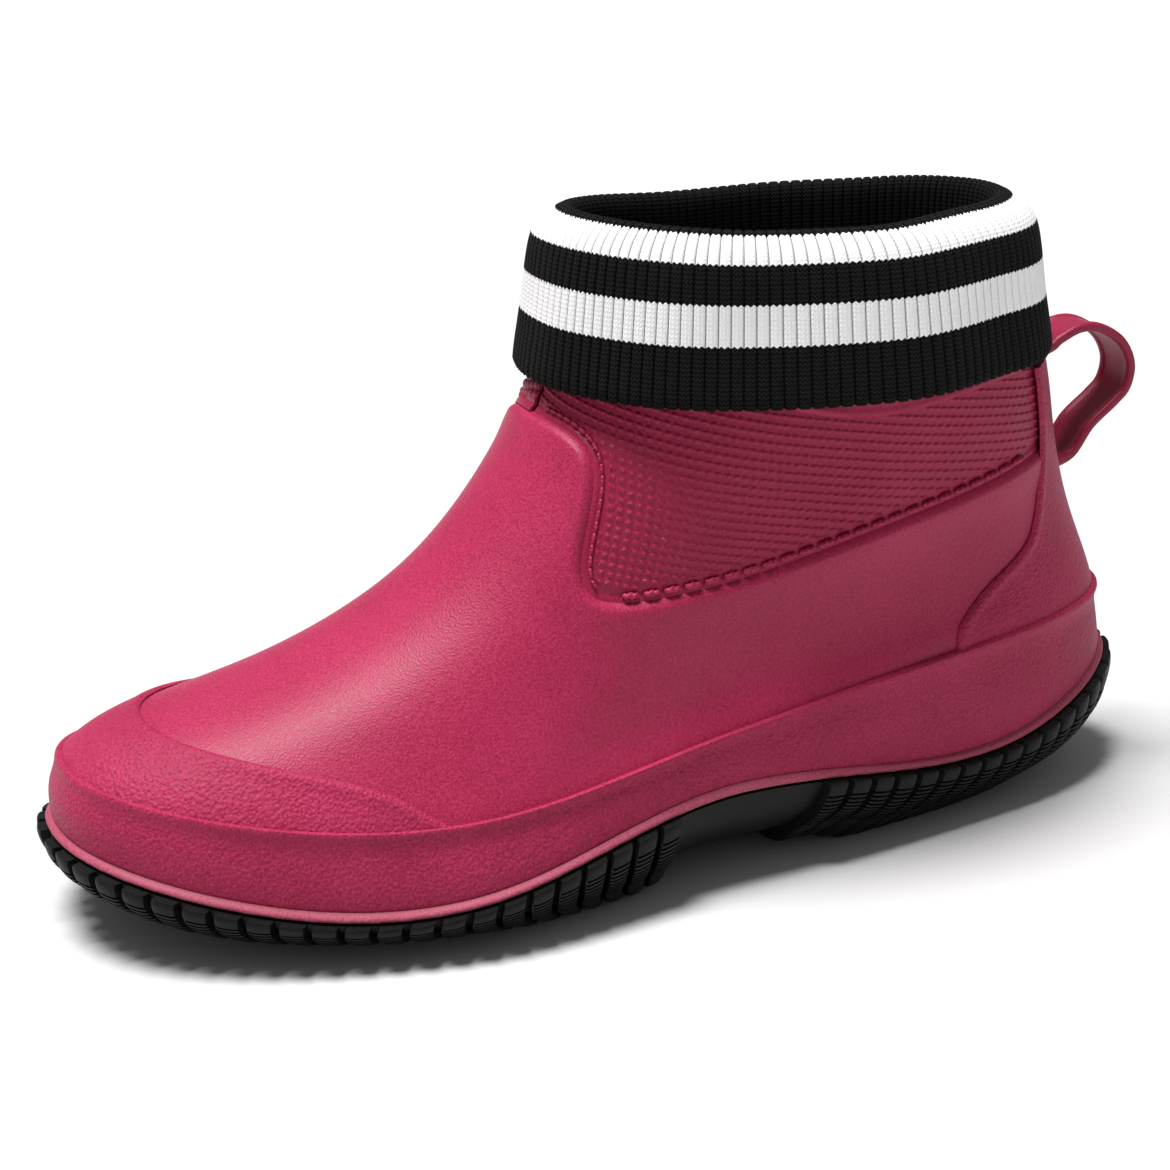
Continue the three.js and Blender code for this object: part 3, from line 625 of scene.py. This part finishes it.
def place_panel(side):
    def place(a, b):
        f = mix(0.088, 0.499, a)
        around = f if side > 0 else 1 - f
        low = panel_line(np.maximum(f, PANEL_END)) - 0.002
        up = mix(low, collar_edge(f) + 0.008, b)
        ground = skin(around, up)
        away = distance_from(ground, EDGES)
        u = np.interp(f, round_fine, round_mm)
        v = -np.linalg.norm(ground - skin(around, 0.85), axis=1)
        height = bars(u, v) * BAR_HEIGHT * ease(away, 2.2, 3.2)
        channel = -CHANNEL_DEPTH * np.exp(-((away - 1.5) / 0.7) ** 2)
        return skin(around, up, -PANEL_RECESS + PANEL_GROUND + height + channel)
    return place


STITCH_PROUD = 0.75


def twisted_stitch(name):
    """One moulded stitch, like a short length of twisted thread, lying along X."""
    deselect()
    bpy.ops.mesh.primitive_uv_sphere_add(segments=14, ring_count=18, radius=0.5, rotation=(0, math.pi / 2, 0))
    piece = bpy.context.object
    bpy.ops.object.transform_apply(location=True, rotation=True, scale=True)
    piece.name = name
    p = read_points(piece)
    x = p[:, 0] * 2
    angle = np.arctan2(p[:, 2], p[:, 1])
    radius = np.sqrt(np.clip(1 - np.abs(x) ** 3.2, 0, 1)) * 0.5
    strand = 1 + 0.2 * np.cos(2 * angle + x * 8)
    write_points(piece, np.stack([
        x * 0.5, radius * strand * np.cos(angle), radius * strand * np.sin(angle)], 1))
    return piece


def join(name, pieces):
    deselect()
    for piece in pieces:
        piece.select_set(True)
    bpy.context.view_layer.objects.active = pieces[0]
    bpy.ops.object.join()
    pieces[0].name = name
    pieces[0].data.name = name
    return pieces[0]


def stitch_row(name, pattern, side, start, end, inset, length, pitch, width, height):
    """Copies of a stitch along a panel's edge, inset from it by that many millimetres."""
    f = np.linspace(start, end, 1500)
    around = f if side > 0 else 1 - f
    edge = skin(around, panel_line(f), -PANEL_RECESS + STITCH_PROUD)
    tangent = np.gradient(edge, axis=0)
    tangent /= np.linalg.norm(tangent, axis=1)[:, None]
    normal = skin_normal(around, panel_line(f))
    inward = np.cross(normal, tangent)
    into_panel = skin(around, panel_line(f) + 0.02) - skin(around, panel_line(f))
    inward *= np.sign((inward * into_panel).sum(1))[:, None]
    line = edge + inward * inset
    lengths = np.concatenate([[0], np.cumsum(np.linalg.norm(np.diff(line, axis=0), axis=1))])
    base = read_points(pattern)
    copies = []
    for at in np.arange(pitch / 2, lengths[-1] - pitch / 2, pitch):
        k = int(np.searchsorted(lengths, at))
        axes = np.stack([
            tangent[k] * length, np.cross(normal[k], tangent[k]) * width, normal[k] * height])
        copy = pattern.copy()
        copy.data = pattern.data.copy()
        bpy.context.scene.collection.objects.link(copy)
        write_points(copy, in_frame(base @ axes + line[k]))
        copies.append(copy)
    return join(name, copies)


stitch = twisted_stitch("stitch_pattern")
for side, word in ((1, "outer"), (-1, "inner")):
    panel = lay_sheet(f"side_panel_{word}_skin", 330, 138, place_panel(side), 0.7)
    finish_piece(panel, PANEL_RUBBER, [f"side_panel_{word}"])
    rows = [
        stitch_row(
            f"panel_stitches_{word}", stitch, side, start=0.112, end=0.352, inset=1.3, length=4.1, pitch=4.9,
            width=1.45, height=1.7),
        stitch_row(
            f"panel_front_stitches_{word}", stitch, side, start=0.356, end=0.49, inset=1.9, length=2.2,
            pitch=2.6, width=0.8, height=0.9),
    ]
    for row in rows:
        finish_piece(row, VAMP_RUBBER, angle=60)
bpy.data.objects.remove(stitch)

# ---------------------------------------------------------------- the collar band
HATCH_PITCH = 1.9
HATCH_HEIGHT = 0.11
# Millimetres of climb for one whole level, near the topline.
MM_A_LEVEL = 125


def place_collar(a, b):
    low = collar_edge(folded(a))
    up = mix(low, 0.97, b)
    mm_up = (up - low) * MM_A_LEVEL
    u = np.interp(np.mod(a, 1), round_fine, round_mm)
    lip = 0.35 * np.exp(-((mm_up - 0.9) / 0.8) ** 2) - 0.5 * np.exp(-(mm_up / 0.35) ** 2)
    phase = 2 * np.pi * (np.abs(u - round_mm[1000]) + mm_up * 0.9) / HATCH_PITCH
    hatch = HATCH_HEIGHT * np.sin(phase) * ease(mm_up, 2, 3)
    return skin(a, up, -0.1 + lip + hatch)


collar = lay_sheet("collar_band_skin", 640, 44, place_collar, 1.1)
finish_piece(collar, COLLAR_RUBBER, ["collar_band"])

# ---------------------------------------------------------------- toe cap, heel counter, foxing
GAP = 0.3


def edge_roll(away, width, top, bottom):
    """A laid piece's face: level at top, rolled down to bottom over its last width of edge."""
    return mix(bottom, top, np.sqrt(np.clip(1 - (1 - np.clip(away / width, 0, 1)) ** 2, 0, 1)))


def place_toe_cap(a, b):
    around = mix(TOE_CAP_END, 1 - TOE_CAP_END, a)
    top = np.maximum(toe_cap_line(folded(around)), CREST + 0.003)
    up = mix(CREST - TUCK, top, 1 - (1 - b) ** 1.4)
    ground = skin(around, up)
    line_around = np.linspace(TOE_CAP_END, 1 - TOE_CAP_END, 1200)
    away = distance_from(ground, skin(line_around, toe_cap_line(folded(line_around))))
    swell = 0.3 * np.exp(-((away - 1.8) / 1.6) ** 2)
    return skin(around, up, edge_roll(away, 1.5, 0.95, 0.05) + swell)


toe_cap = lay_sheet("toe_cap_skin", 260, 60, place_toe_cap, 0.5)
finish_piece(toe_cap, GRAIN_RUBBER, ["toe_cap"])


def place_counter(a, b):
    up = mix(CREST - TUCK, COLLAR_LINE - 0.002, b)
    half = counter_half(up)
    share = 2 * a - 1
    share = np.sign(share) * (1 - (1 - np.abs(share)) ** 1.25)
    around = half * share
    ground = skin(around, up)
    line_up = np.linspace(CREST - 0.05, COLLAR_LINE + 0.01, 700)
    line_half = counter_half(line_up)
    edge = np.vstack([skin(line_half, line_up), skin(-line_half, line_up)])
    away = distance_from(ground, edge)
    swell = 0.45 * np.exp(-((away - 1.6) / 1.3) ** 2)
    return skin(around, up, edge_roll(away, 1.6, 0.7, 0.05) + swell)


counter = lay_sheet("heel_counter_skin", 200, 120, place_counter, 1.0)
finish_piece(counter, GRAIN_RUBBER, ["heel_counter"])

FOXING_SECTION = [
    (0.032, -1.2), (0.030, -0.2), (0.037, 0.42), (0.07, 0.5), (0.12, 0.5), (0.16, 0.45), (0.19, 0.5),
    (0.211, 1.05), (0.2225, 1.75), (0.2305, 1.75), (0.2348, 0.9), (0.2345, -0.4), (0.233, -1.2),
    (0.20, -1.3), (0.15, -1.3), (0.10, -1.3),
]
SECTION_SCALE = 170.0


def place_foxing(a, b):
    flat = [(up * SECTION_SCALE, lift) for up, lift in FOXING_SECTION]
    section = path_at(flat, b, True)
    return skin(a, section[:, 0] / SECTION_SCALE, section[:, 1])


foxing = lay_ring("foxing_band_skin", 420, 84, place_foxing)
finish_piece(foxing, GRAIN_RUBBER, ["foxing_band"])

BEAD_SECTION = [
    (-1.0, -0.9), (0.3, -0.85), (1.25, -0.75), (1.75, -0.35), (1.75, 0.15), (1.35, 0.6), (0.8, 0.95),
    (0.35, 1.3), (-0.2, 1.5), (-1.0, 1.2), (-1.1, 0.0),
]


def place_bead(a, b):
    section = path_at(BEAD_SECTION, b, True)
    return feather(a, section[:, 0], section[:, 1])


bead = lay_ring("welt_bead_skin", 420, 30, place_bead)
finish_piece(bead, BEAD_RUBBER, ["welt_bead"])

# ---------------------------------------------------------------- the bottom
OUTSOLE_DROP = 1.2
RIM_OUT = 1.6
BASE = 3.2
ARCH_RISE = 3.5
TOE_RISE = 11
BED_INSET = 7.1
TOE_SWING = 8.5


def underside(along):
    arch = ARCH_RISE * ease(along, 84, 100) * (1 - ease(along, 128, 146))
    return LUG_HEIGHT + arch + TOE_RISE * np.maximum(0, (along - 218) / 40) ** 2


bed_extra = spline([30, 105, 185, 235], [1.9, 2.4, 0.3, 4.5])


def middle_point(along, height):
    place = np.clip(along, 34, 226)
    across = -TOE_SWING * ease(place / SOLE_LENGTH, 0.45, 1)
    return np.stack([across, SOLE_LENGTH / 2 - place, height(place)], -1)


def dish(around, share, lift, trim=0.0):
    """Points on the dished bed, from its middle line (share 0) to its edge (1), less a trim."""
    around, share, lift = spread(around, share, lift)
    edge = feather(around, -BED_INSET, lift - OUTSOLE_DROP)
    middle = middle_point(SOLE_LENGTH / 2 - edge[:, 1], lambda s: underside(s) + BASE + bed_extra(s) + lift)
    reach = share * (1 - trim / np.hypot(*(edge - middle)[:, :2].T))
    level = mix(middle[:, :2], edge[:, :2], reach[:, None])
    return np.column_stack([level, mix(middle[:, 2], edge[:, 2], reach**2.5)])


def contact(around, out, drop):
    around, out, drop = spread(around, out, drop)
    point = outline(np.broadcast_to(CONTACT_LEVEL, (len(around), 11)), around, out)
    point[:, 2] = underside(SOLE_LENGTH / 2 - point[:, 1]) - drop
    return point


def wall(around, down, out):
    """The outsole's side, from its rim (down 0) to its underside (down 1)."""
    around, down, out = spread(around, down, out)
    rim = feather(around, RIM_OUT + out, -OUTSOLE_DROP)
    foot = contact(around, out * 0.75, out * 0.6)
    shoulder = feather(around, RIM_OUT - 1.5 + out, 0)
    shoulder[:, 2] = mix(foot[:, 2], rim[:, 2], 0.3)
    down = down[:, None]
    return mix(mix(rim, shoulder, down), mix(shoulder, foot, down), down)


def place_outsole(a, b):
    """The outsole's body: out along the bed, down the side wall and back under to the middle line."""
    top = dish(a, np.clip(b / 0.4, 0, 1), 0)
    side = wall(a, np.clip((b - 0.42) / 0.33, 0, 1), 0)
    foot = contact(a, 0, 0)
    middle = middle_point(SOLE_LENGTH / 2 - foot[:, 1], underside)
    under = mix(foot, middle, np.clip((b - 0.75) / 0.25, 0, 1)[:, None])
    under[:, 2] = underside(SOLE_LENGTH / 2 - under[:, 1])
    points = np.where((b < 0.41)[:, None], top, side)
    return np.where((b > 0.75)[:, None], under, points)


LUG_WIDTH = 5.3
LUG_PITCH = 6.8
LUG_PROUD = 3.0
LUG_COLUMNS = 6
LUG_ROWS = 84
LUG_LEAN = 0.006
SIPE_DEPTH = 0.2
LUG_TOP_SHARE = 0.93
lug_path_weights = spline_weights([0, 0.22, 0.48, 0.68, 0.78, 0.9, 1])


def lug_path(around, b, c):
    """From the bead down the wall and 9 mm in under the sole; c is 0 inside the body and 1 at the top."""
    out = mix(-1.2, LUG_PROUD, c)
    drop = mix(-1.2, LUG_HEIGHT, c)
    stops = [
        wall(around, 0.0, out * 0.85), wall(around, 0.25, out), wall(around, 0.52, out),
        wall(around, 0.78, out), contact(around, out * 0.55, drop * 0.93), contact(around, -4.0, drop),
        contact(around, -9.0, drop),
    ]
    weights = lug_path_weights(b)
    return sum(weights[:, k:k + 1] * stop for k, stop in enumerate(stops))


def lug_block():
    """One lug, flat: X across it, Y down the wall, Z how proud; fine sipes cross its upper half."""
    deselect()
    bpy.ops.mesh.primitive_grid_add(x_subdivisions=LUG_COLUMNS, y_subdivisions=LUG_ROWS, size=1)
    block = bpy.context.object
    block.name = "lug_block"

    def raise_top():
        bpy.ops.mesh.extrude_region_move(TRANSFORM_OT_translate={"value": (0, 0, 1)})

    edit(block, raise_top, face_outwards)
    p = read_points(block)
    top = p[:, 2] > 0.5
    a = p[:, 0] * 2
    b = p[:, 1] + 0.5
    rounding = 0.10 * np.abs(a) ** 4 + 0.10 * np.clip(1 - b / 0.06, 0, 1) ** 2
    row = np.round(b * LUG_ROWS)
    sipes = SIPE_DEPTH * (row % 4 == 0) * (b > 0.1) * (b < 0.6)
    p[:, 2] = np.where(top, 1 - rounding - sipes, 0)
    p[:, 0] *= np.where(top, LUG_TOP_SHARE, 1.0)
    write_points(block, p)
    return block


def spaced(start, end, pitch):
    """Ways round the feather line, evenly spaced by pitch between two of them."""
    fine = np.linspace(start, end, 801)
    line = feather(fine, 0, 0)
    travelled = np.concatenate([[0], np.cumsum(np.linalg.norm(np.diff(line, axis=0), axis=1))])
    stops = np.arange(pitch / 2, travelled[-1], pitch)
    return np.interp(stops, travelled, fine)


body = lay_grid("outsole_body", 300, 64, place_outsole)
edit(body, weld, face_outwards)
finish_piece(body, SOLE_RUBBER, ["outsole"], angle=30)

block = lug_block()
flat_lug = read_points(block)
lugs = []
for middle in [*spaced(0.258, 0.742, LUG_PITCH), *spaced(-0.216, 0.216, LUG_PITCH)]:
    step = np.linalg.norm(feather(middle + 0.001, 0, 0) - feather(middle - 0.001, 0, 0)) / 0.002
    lean = LUG_LEAN if middle % 1 < 0.5 else -LUG_LEAN
    b = flat_lug[:, 1] + 0.5
    around = middle + flat_lug[:, 0] * LUG_WIDTH / step + lean * (b - 0.5)
    lug = block.copy()
    lug.data = block.data.copy()
    bpy.context.scene.collection.objects.link(lug)
    points = in_frame(lug_path(around, b, flat_lug[:, 2]))
    points[:, 2] = np.maximum(points[:, 2], 0)
    write_points(lug, points)
    lugs.append(lug)
bpy.data.objects.remove(block)
lugs = join("outsole_lugs", lugs)
edit(lugs, face_outwards)
finish_piece(lugs, SOLE_RUBBER, angle=35)

TREAD_PITCH = 12.5
TREAD_SWEEP = 5.0
TREAD_LENGTH = 6.5
TREAD_DEPTH = 4.3
TREAD_MARGIN = 10
tread_half = spline([20, 45, 80, 150, 195, 215], [18, 27, 24, 30, 41, 33])
bars_under = []
for along in [42 + TREAD_PITCH * i for i in range(3)] + [158 + TREAD_PITCH * i for i in range(5)]:
    half = float(tread_half(along)[0]) - TREAD_MARGIN
    deselect()
    bpy.ops.mesh.primitive_cube_add(size=1)
    bar = bpy.context.object
    edit(bar, lambda: bpy.ops.mesh.subdivide(number_cuts=1))
    p = read_points(bar)
    forward = np.abs(p[:, 0]) * 2 * TREAD_SWEEP + (p[:, 1] + 0.5) * TREAD_LENGTH
    middle = middle_point(np.array([along]), underside)[0]
    write_points(bar, in_frame(np.stack([
        middle[0] + p[:, 0] * 2 * half, SOLE_LENGTH / 2 - along + forward,
        (p[:, 2] + 0.5) * TREAD_DEPTH], 1)))
    apply_modifier(bar, "BEVEL", width=0.5 * MM, segments=2)
    bars_under.append(bar)
tread = join("tread_bars", bars_under)
edit(tread, face_outwards)
finish_piece(tread, SOLE_RUBBER, angle=35)

# ---------------------------------------------------------------- inside the boot
# Black polyester jersey, soft and matt: the lining and the footbed's cover.
JERSEY = woven("polyester_jersey_black", "#101112", "#2c2d2f", 1.2, 0.12)
# Black polyester tape over the seam in the cuff, closer woven and flatter than the jersey.
TAPE = woven("woven_seam_tape", "#0c0c0d", "#242425", 0.9, 0.08)
# Closed-cell EVA foam with open cells where it was cut: the footbed and the filler under the board.
FOAM = grainy("eva_foam_black", "#1d1d1f", "#313134", 0.85, 0.8, 0.08)
# Pressed cellulose board, buff with darker fibres: the insole board, the toe puff and the stiffener.
BOARD = grainy("cellulose_fibre_board", "#9c8362", "#c0a67f", 0.9, 1.4, 0.05)
LINING_INSET = 4.0


def place_lining(a, b):
    return skin(a, mix(0.035, 0.86, b), -LINING_INSET)


lining = lay_sheet("lining_cloth", 260, 60, place_lining, 1.1)
finish_piece(lining, JERSEY, ["lining"])

FILLER_THICKNESS = 2.4
BOARD_THICKNESS = 1.8
BOARD_HIGH = GAP + FILLER_THICKNESS + GAP + BOARD_THICKNESS
FOOTBED_LOW = BOARD_HIGH + 0.6
FOOTBED_TRIM = 3.4
FOAM_THICKNESS = 4.5
HEEL_EXTRA = 2.0


def footbed_top(around):
    return FOOTBED_LOW + FOAM_THICKNESS + HEEL_EXTRA * (1 - ease(folded(around), 0.14, 0.36))


def place_foam(a, b):
    """The foam's section: out over its crowned top, round its pulled-in side and back underneath."""
    top = dish(a, np.clip(b / 0.45, 0, 1), footbed_top(a) - 0.5 * np.clip(b / 0.45, 0, 1) ** 8, FOOTBED_TRIM)
    under = dish(a, np.clip((1 - b) / 0.45, 0, 1), FOOTBED_LOW, FOOTBED_TRIM)
    t = np.clip((b - 0.45) / 0.1, 0, 1)[:, None]
    side = mix(top, under, t)
    inward = -0.5 * np.sin(t[:, 0] * np.pi)
    centre = dish(a, 0.5, FOOTBED_LOW, FOOTBED_TRIM)
    pull = side[:, :2] - centre[:, :2]
    pull /= np.maximum(np.linalg.norm(pull, axis=1), 1e-6)[:, None]
    side[:, :2] += pull * inward[:, None]
    return side


foam = lay_grid("footbed_foam_pad", 200, 60, place_foam)
edit(foam, weld, face_outwards)
finish_piece(foam, FOAM, ["footbed_foam"])


def place_cover(a, b):
    return dish(a, b, footbed_top(a) + GAP + 0.9, FOOTBED_TRIM)


cover = lay_sheet("footbed_cover_cloth", 200, 36, place_cover, 0.9)
edit(cover, weld, face_outwards)
finish_piece(cover, JERSEY, ["footbed_cover"])

# ---------------------------------------------------------------- the knit cuff
RIBS = 124
COLUMNS_A_RIB = 8
WALES_PER_RIB = 3.0
COURSE_MM = 1.0
STRIPE_TOOTH = 1.1
RIB_DEPTH = 0.55
CUFF_SECTION = [
    (5.9, 114), (6.45, 115), (6.0, 119), (4.5, 128), (2.6, 141), (1.1, 146.2), (-1.5, 149.4), (-4.2, 151.1),
    (-6.3, 151.9), (-8.0, 150.8), (-8.8, 147), (-9.0, 136), (-8.6, 121), (-7.7, 120), (-6.8, 121),
    (-7.2, 136), (-7.0, 144.6), (-6.3, 148.4), (-4.9, 149.0), (-2.8, 147.6), (-0.8, 145.0), (0.9, 140.4),
    (2.6, 128), (4.4, 118), (4.8, 114.3),
]
cuff_length = path_length(CUFF_SECTION, True)
WHITE_STRIPES = [(14.6, 23.6), (32.4, 40.2)]
KNIT = rib_knit()


def place_cuff(a, b):
    section = path_at(CUFF_SECTION, b, True)
    along = b * cuff_length
    ahead = path_at(CUFF_SECTION, np.mod(b + 0.002, 1), True)
    behind = path_at(CUFF_SECTION, np.mod(b - 0.002, 1), True)
    line = ahead - behind
    line /= np.linalg.norm(line, axis=1)[:, None]
    outward = np.stack([line[:, 1], -line[:, 0]], 1)
    rib = np.abs(2 * np.mod(a * RIBS, 1) - 1)
    ridge = -RIB_DEPTH * rib**5
    shown = 1 - ease(along, 78, 84) + ease(along, cuff_length - 8, cuff_length)
    wave = 0.35 * np.sin(2 * np.pi * a * 5 + 1.0) + 0.25 * np.sin(2 * np.pi * (a * 11 + b))
    loose = 1 - ease(section[:, 1], 128, 150)
    section = section + outward * (ridge * mix(0.35, 1, shown))[:, None]
    return cuff(a, section[:, 0] + wave * loose * (section[:, 0] > -2), section[:, 1] + 0.12 * wave)


knit = lay_grid("knit_cuff_cloth", RIBS * COLUMNS_A_RIB, 84, place_cuff)
uv = knit.data.uv_layers[0]
flat_uv = np.zeros(len(uv.data) * 2)
uv.data.foreach_get("uv", flat_uv)
flat_uv = flat_uv.reshape(-1, 2) * np.array([RIBS, cuff_length])
uv.data.foreach_set("uv", flat_uv.ravel())
edit(knit, weld, face_outwards)
finish_piece(knit, KNIT, ["knit_cuff"], angle=70)
round_cuff = cuff(np.linspace(0, 1, 200), 0.0, 0.0)

TAPE_SECTION = [(-9.15, 125), (-9.9, 124.8), (-9.95, 120), (-9.9, 116.2), (-9.15, 116), (-9.1, 120)]


def place_tape(a, b):
    section = path_at(TAPE_SECTION, b, True)
    return cuff(a, section[:, 0], section[:, 1])


tape = lay_ring("cuff_seam_tape_cloth", 200, 18, place_tape)
finish_piece(tape, TAPE, ["cuff_seam_tape"])

# ---------------------------------------------------------------- the pull loop
COUNTER_FACE = 1.1
PIVOT_OUT = 4.5
LOWER_ROOT_HEIGHT = 79
UPPER_ROOT_HEIGHT = 107.5
LOOP_REACH = 21.5
ROOT_LIFT = 0.6


def back_up_at(height):
    low, high = 0.3, COLLAR_LINE
    for _ in range(30):
        half = (low + high) / 2
        if skin(0.0, half)[0, 2] < height:
            low = half
        else:
            high = half
    return low


lower_up = back_up_at(LOWER_ROOT_HEIGHT)
upper_up = back_up_at(UPPER_ROOT_HEIGHT)
REACH_TO_PIVOT = COUNTER_FACE + GAP + PIVOT_OUT
lower_pivot = skin(0.0, lower_up, REACH_TO_PIVOT)[0]
upper_pivot = skin(0.0, upper_up, REACH_TO_PIVOT)[0]
chord = upper_pivot - lower_pivot
outward = np.array([0, chord[2], -chord[1]]) / np.linalg.norm(chord)
LOOP_OUTLINE = [
    (0, 0), (0.17, 0.31), (0.28, 0.68), (0.37, 0.89), (0.56, 1), (0.79, 0.92), (0.98, 0.67), (1.05, 0.41),
    (1.03, 0.12), (1, 0),
]
loop_points = [lower_pivot + chord * up + outward * LOOP_REACH * out for up, out in LOOP_OUTLINE]
loop_points = [skin(0.0, lower_up, ROOT_LIFT)[0], *loop_points, skin(0.0, upper_up, ROOT_LIFT)[0]]
STRAP_SECTION = [
    (-6.5, 0), (-6.35, 0.8), (-5.6, 1.2), (-4.6, 1.15), (-3.9, 0.8), (-2, 0.68), (0, 0.66), (2, 0.68),
    (3.9, 0.8), (4.6, 1.15), (5.6, 1.2), (6.35, 0.8), (6.5, 0), (6.35, -0.8), (5.6, -1.2), (4.6, -1.15),
    (3.9, -0.8), (2, -0.68), (0, -0.66), (-2, -0.68), (-3.9, -0.8), (-4.6, -1.15), (-5.6, -1.2),
    (-6.35, -0.8),
]


def place_strap(a, b):
    section = path_at(STRAP_SECTION, a, True)
    here = path_at(loop_points, b)
    along = path_at(loop_points, np.minimum(b + 0.004, 1)) - path_at(loop_points, np.maximum(b - 0.004, 0))
    along /= np.linalg.norm(along, axis=1)[:, None]
    across = np.array([1.0, 0, 0])
    face = np.cross(along, across)
    root = np.exp(-(np.minimum(b, 1 - b) / 0.05) ** 2)
    thick = section[:, 1] * (1 + 0.5 * root)
    return here + across * section[:, :1] + face * thick[:, None]


strap = lay_grid("pull_loop_strap", 96, 150, place_strap)
edit(strap, weld, lambda: bpy.ops.mesh.select_all(action="SELECT"),
     lambda: bpy.ops.mesh.fill_holes(sides=0), face_outwards)
finish_piece(strap, LOOP_RUBBER, body=None)
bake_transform(strap)
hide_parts("pull_loop", "loop_tab_lower", "loop_tab_upper")

# ---------------------------------------------------------------- CAD nodes inside the layers
for node, material in {
    "base_shell": VAMP_RUBBER, "bottom_filler": FOAM, "insole_board": BOARD,
    "toe_puff": BOARD, "heel_stiffener": BOARD,
}.items():
    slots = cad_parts[node].data.materials
    if not slots:
        slots.append(material)
    for i in range(len(slots)):
        slots[i] = material

# ---------------------------------------------------------------- floor, light and camera
FLOOR_SIZE = 24
FLOOR_DROP = 0.0002
KEY_DIRECTION = (-0.06, -0.20, 0.98)
KEY_STRENGTH = 5.2
KEY_SPREAD = math.radians(24)
FILL_STRENGTH = 0.23
deselect()
bpy.ops.mesh.primitive_plane_add(size=FLOOR_SIZE, location=(0, 0, -FLOOR_DROP))
floor = bpy.context.object
floor.name = "studio_floor"
# Matt white paper with a faint fibre relief.
paper, paper_tree, paper_shader = new_material("white_paper_sweep", 0.9)
paper_shader.inputs["Base Color"].default_value = colour("#cccccc")
paper_where = add_node(paper_tree, "ShaderNodeTexCoord").outputs["Object"]
paper_fibres = add_node(
    paper_tree, "ShaderNodeTexNoise", {}, Vector=paper_where, Scale=250.0, Detail=2.0, Roughness=0.5)
paper_grain = add_node(
    paper_tree, "ShaderNodeBump", {}, Strength=0.2, Distance=0.05 * MM, Height=paper_fibres)
paper_tree.links.new(paper_grain.outputs[0], paper_shader.inputs["Normal"])
floor.data.materials.append(paper)

key = bpy.data.lights.new("overhead_softbox", "SUN")
key.energy = KEY_STRENGTH
key.angle = KEY_SPREAD
key_lamp = bpy.data.objects.new("overhead_softbox", key)
bpy.context.scene.collection.objects.link(key_lamp)
key_lamp.rotation_euler = Vector(KEY_DIRECTION).to_track_quat("Z", "Y").to_euler()

world = bpy.data.worlds.new("studio")
bpy.context.scene.world = world
world.use_nodes = True
sky = world.node_tree
sky.nodes.clear()
camera_ray = add_node(sky, "ShaderNodeLightPath").outputs["Is Camera Ray"]
seen = add_node(sky, "ShaderNodeBackground", {}, Color=(1, 1, 1, 1), Strength=1.0).outputs[0]
fill = add_node(sky, "ShaderNodeBackground", {}, Color=(1, 1, 1, 1), Strength=FILL_STRENGTH).outputs[0]
both = add_node(sky, "ShaderNodeMixShader", {}, in0=camera_ray, in1=fill, in2=seen).outputs[0]
add_node(sky, "ShaderNodeOutputWorld", {}, Surface=both)
bpy.context.scene.view_settings.view_transform = "Standard"

CAMERA_TARGET = np.array([0, -5.21, 64.26])
CAMERA_DISTANCE = 0.5486
CAMERA_LENS = 71.36
azimuth = math.radians(66.11)
elevation = math.radians(19.12)
roll = math.radians(0.98)
back = Vector((
    math.sin(azimuth) * math.cos(elevation),
    -math.cos(azimuth) * math.cos(elevation),
    math.sin(elevation),
))
right = Vector((math.cos(azimuth), math.sin(azimuth), 0))
up_axis = back.cross(right)
right_rolled = right * math.cos(roll) - up_axis * math.sin(roll)
up_rolled = right * math.sin(roll) + up_axis * math.cos(roll)
target = Vector(tuple(in_frame(CAMERA_TARGET)))
camera_data = bpy.data.cameras.new("camera")
camera_data.lens = CAMERA_LENS
camera_data.sensor_width = 36
camera_data.clip_start = 0.01
camera = bpy.data.objects.new("camera", camera_data)
bpy.context.scene.collection.objects.link(camera)
place = target + back * CAMERA_DISTANCE
camera.matrix_world = Matrix((
    (right_rolled.x, up_rolled.x, back.x, place.x),
    (right_rolled.y, up_rolled.y, back.y, place.y),
    (right_rolled.z, up_rolled.z, back.z, place.z),
    (0, 0, 0, 1),
))
bpy.context.scene.camera = camera
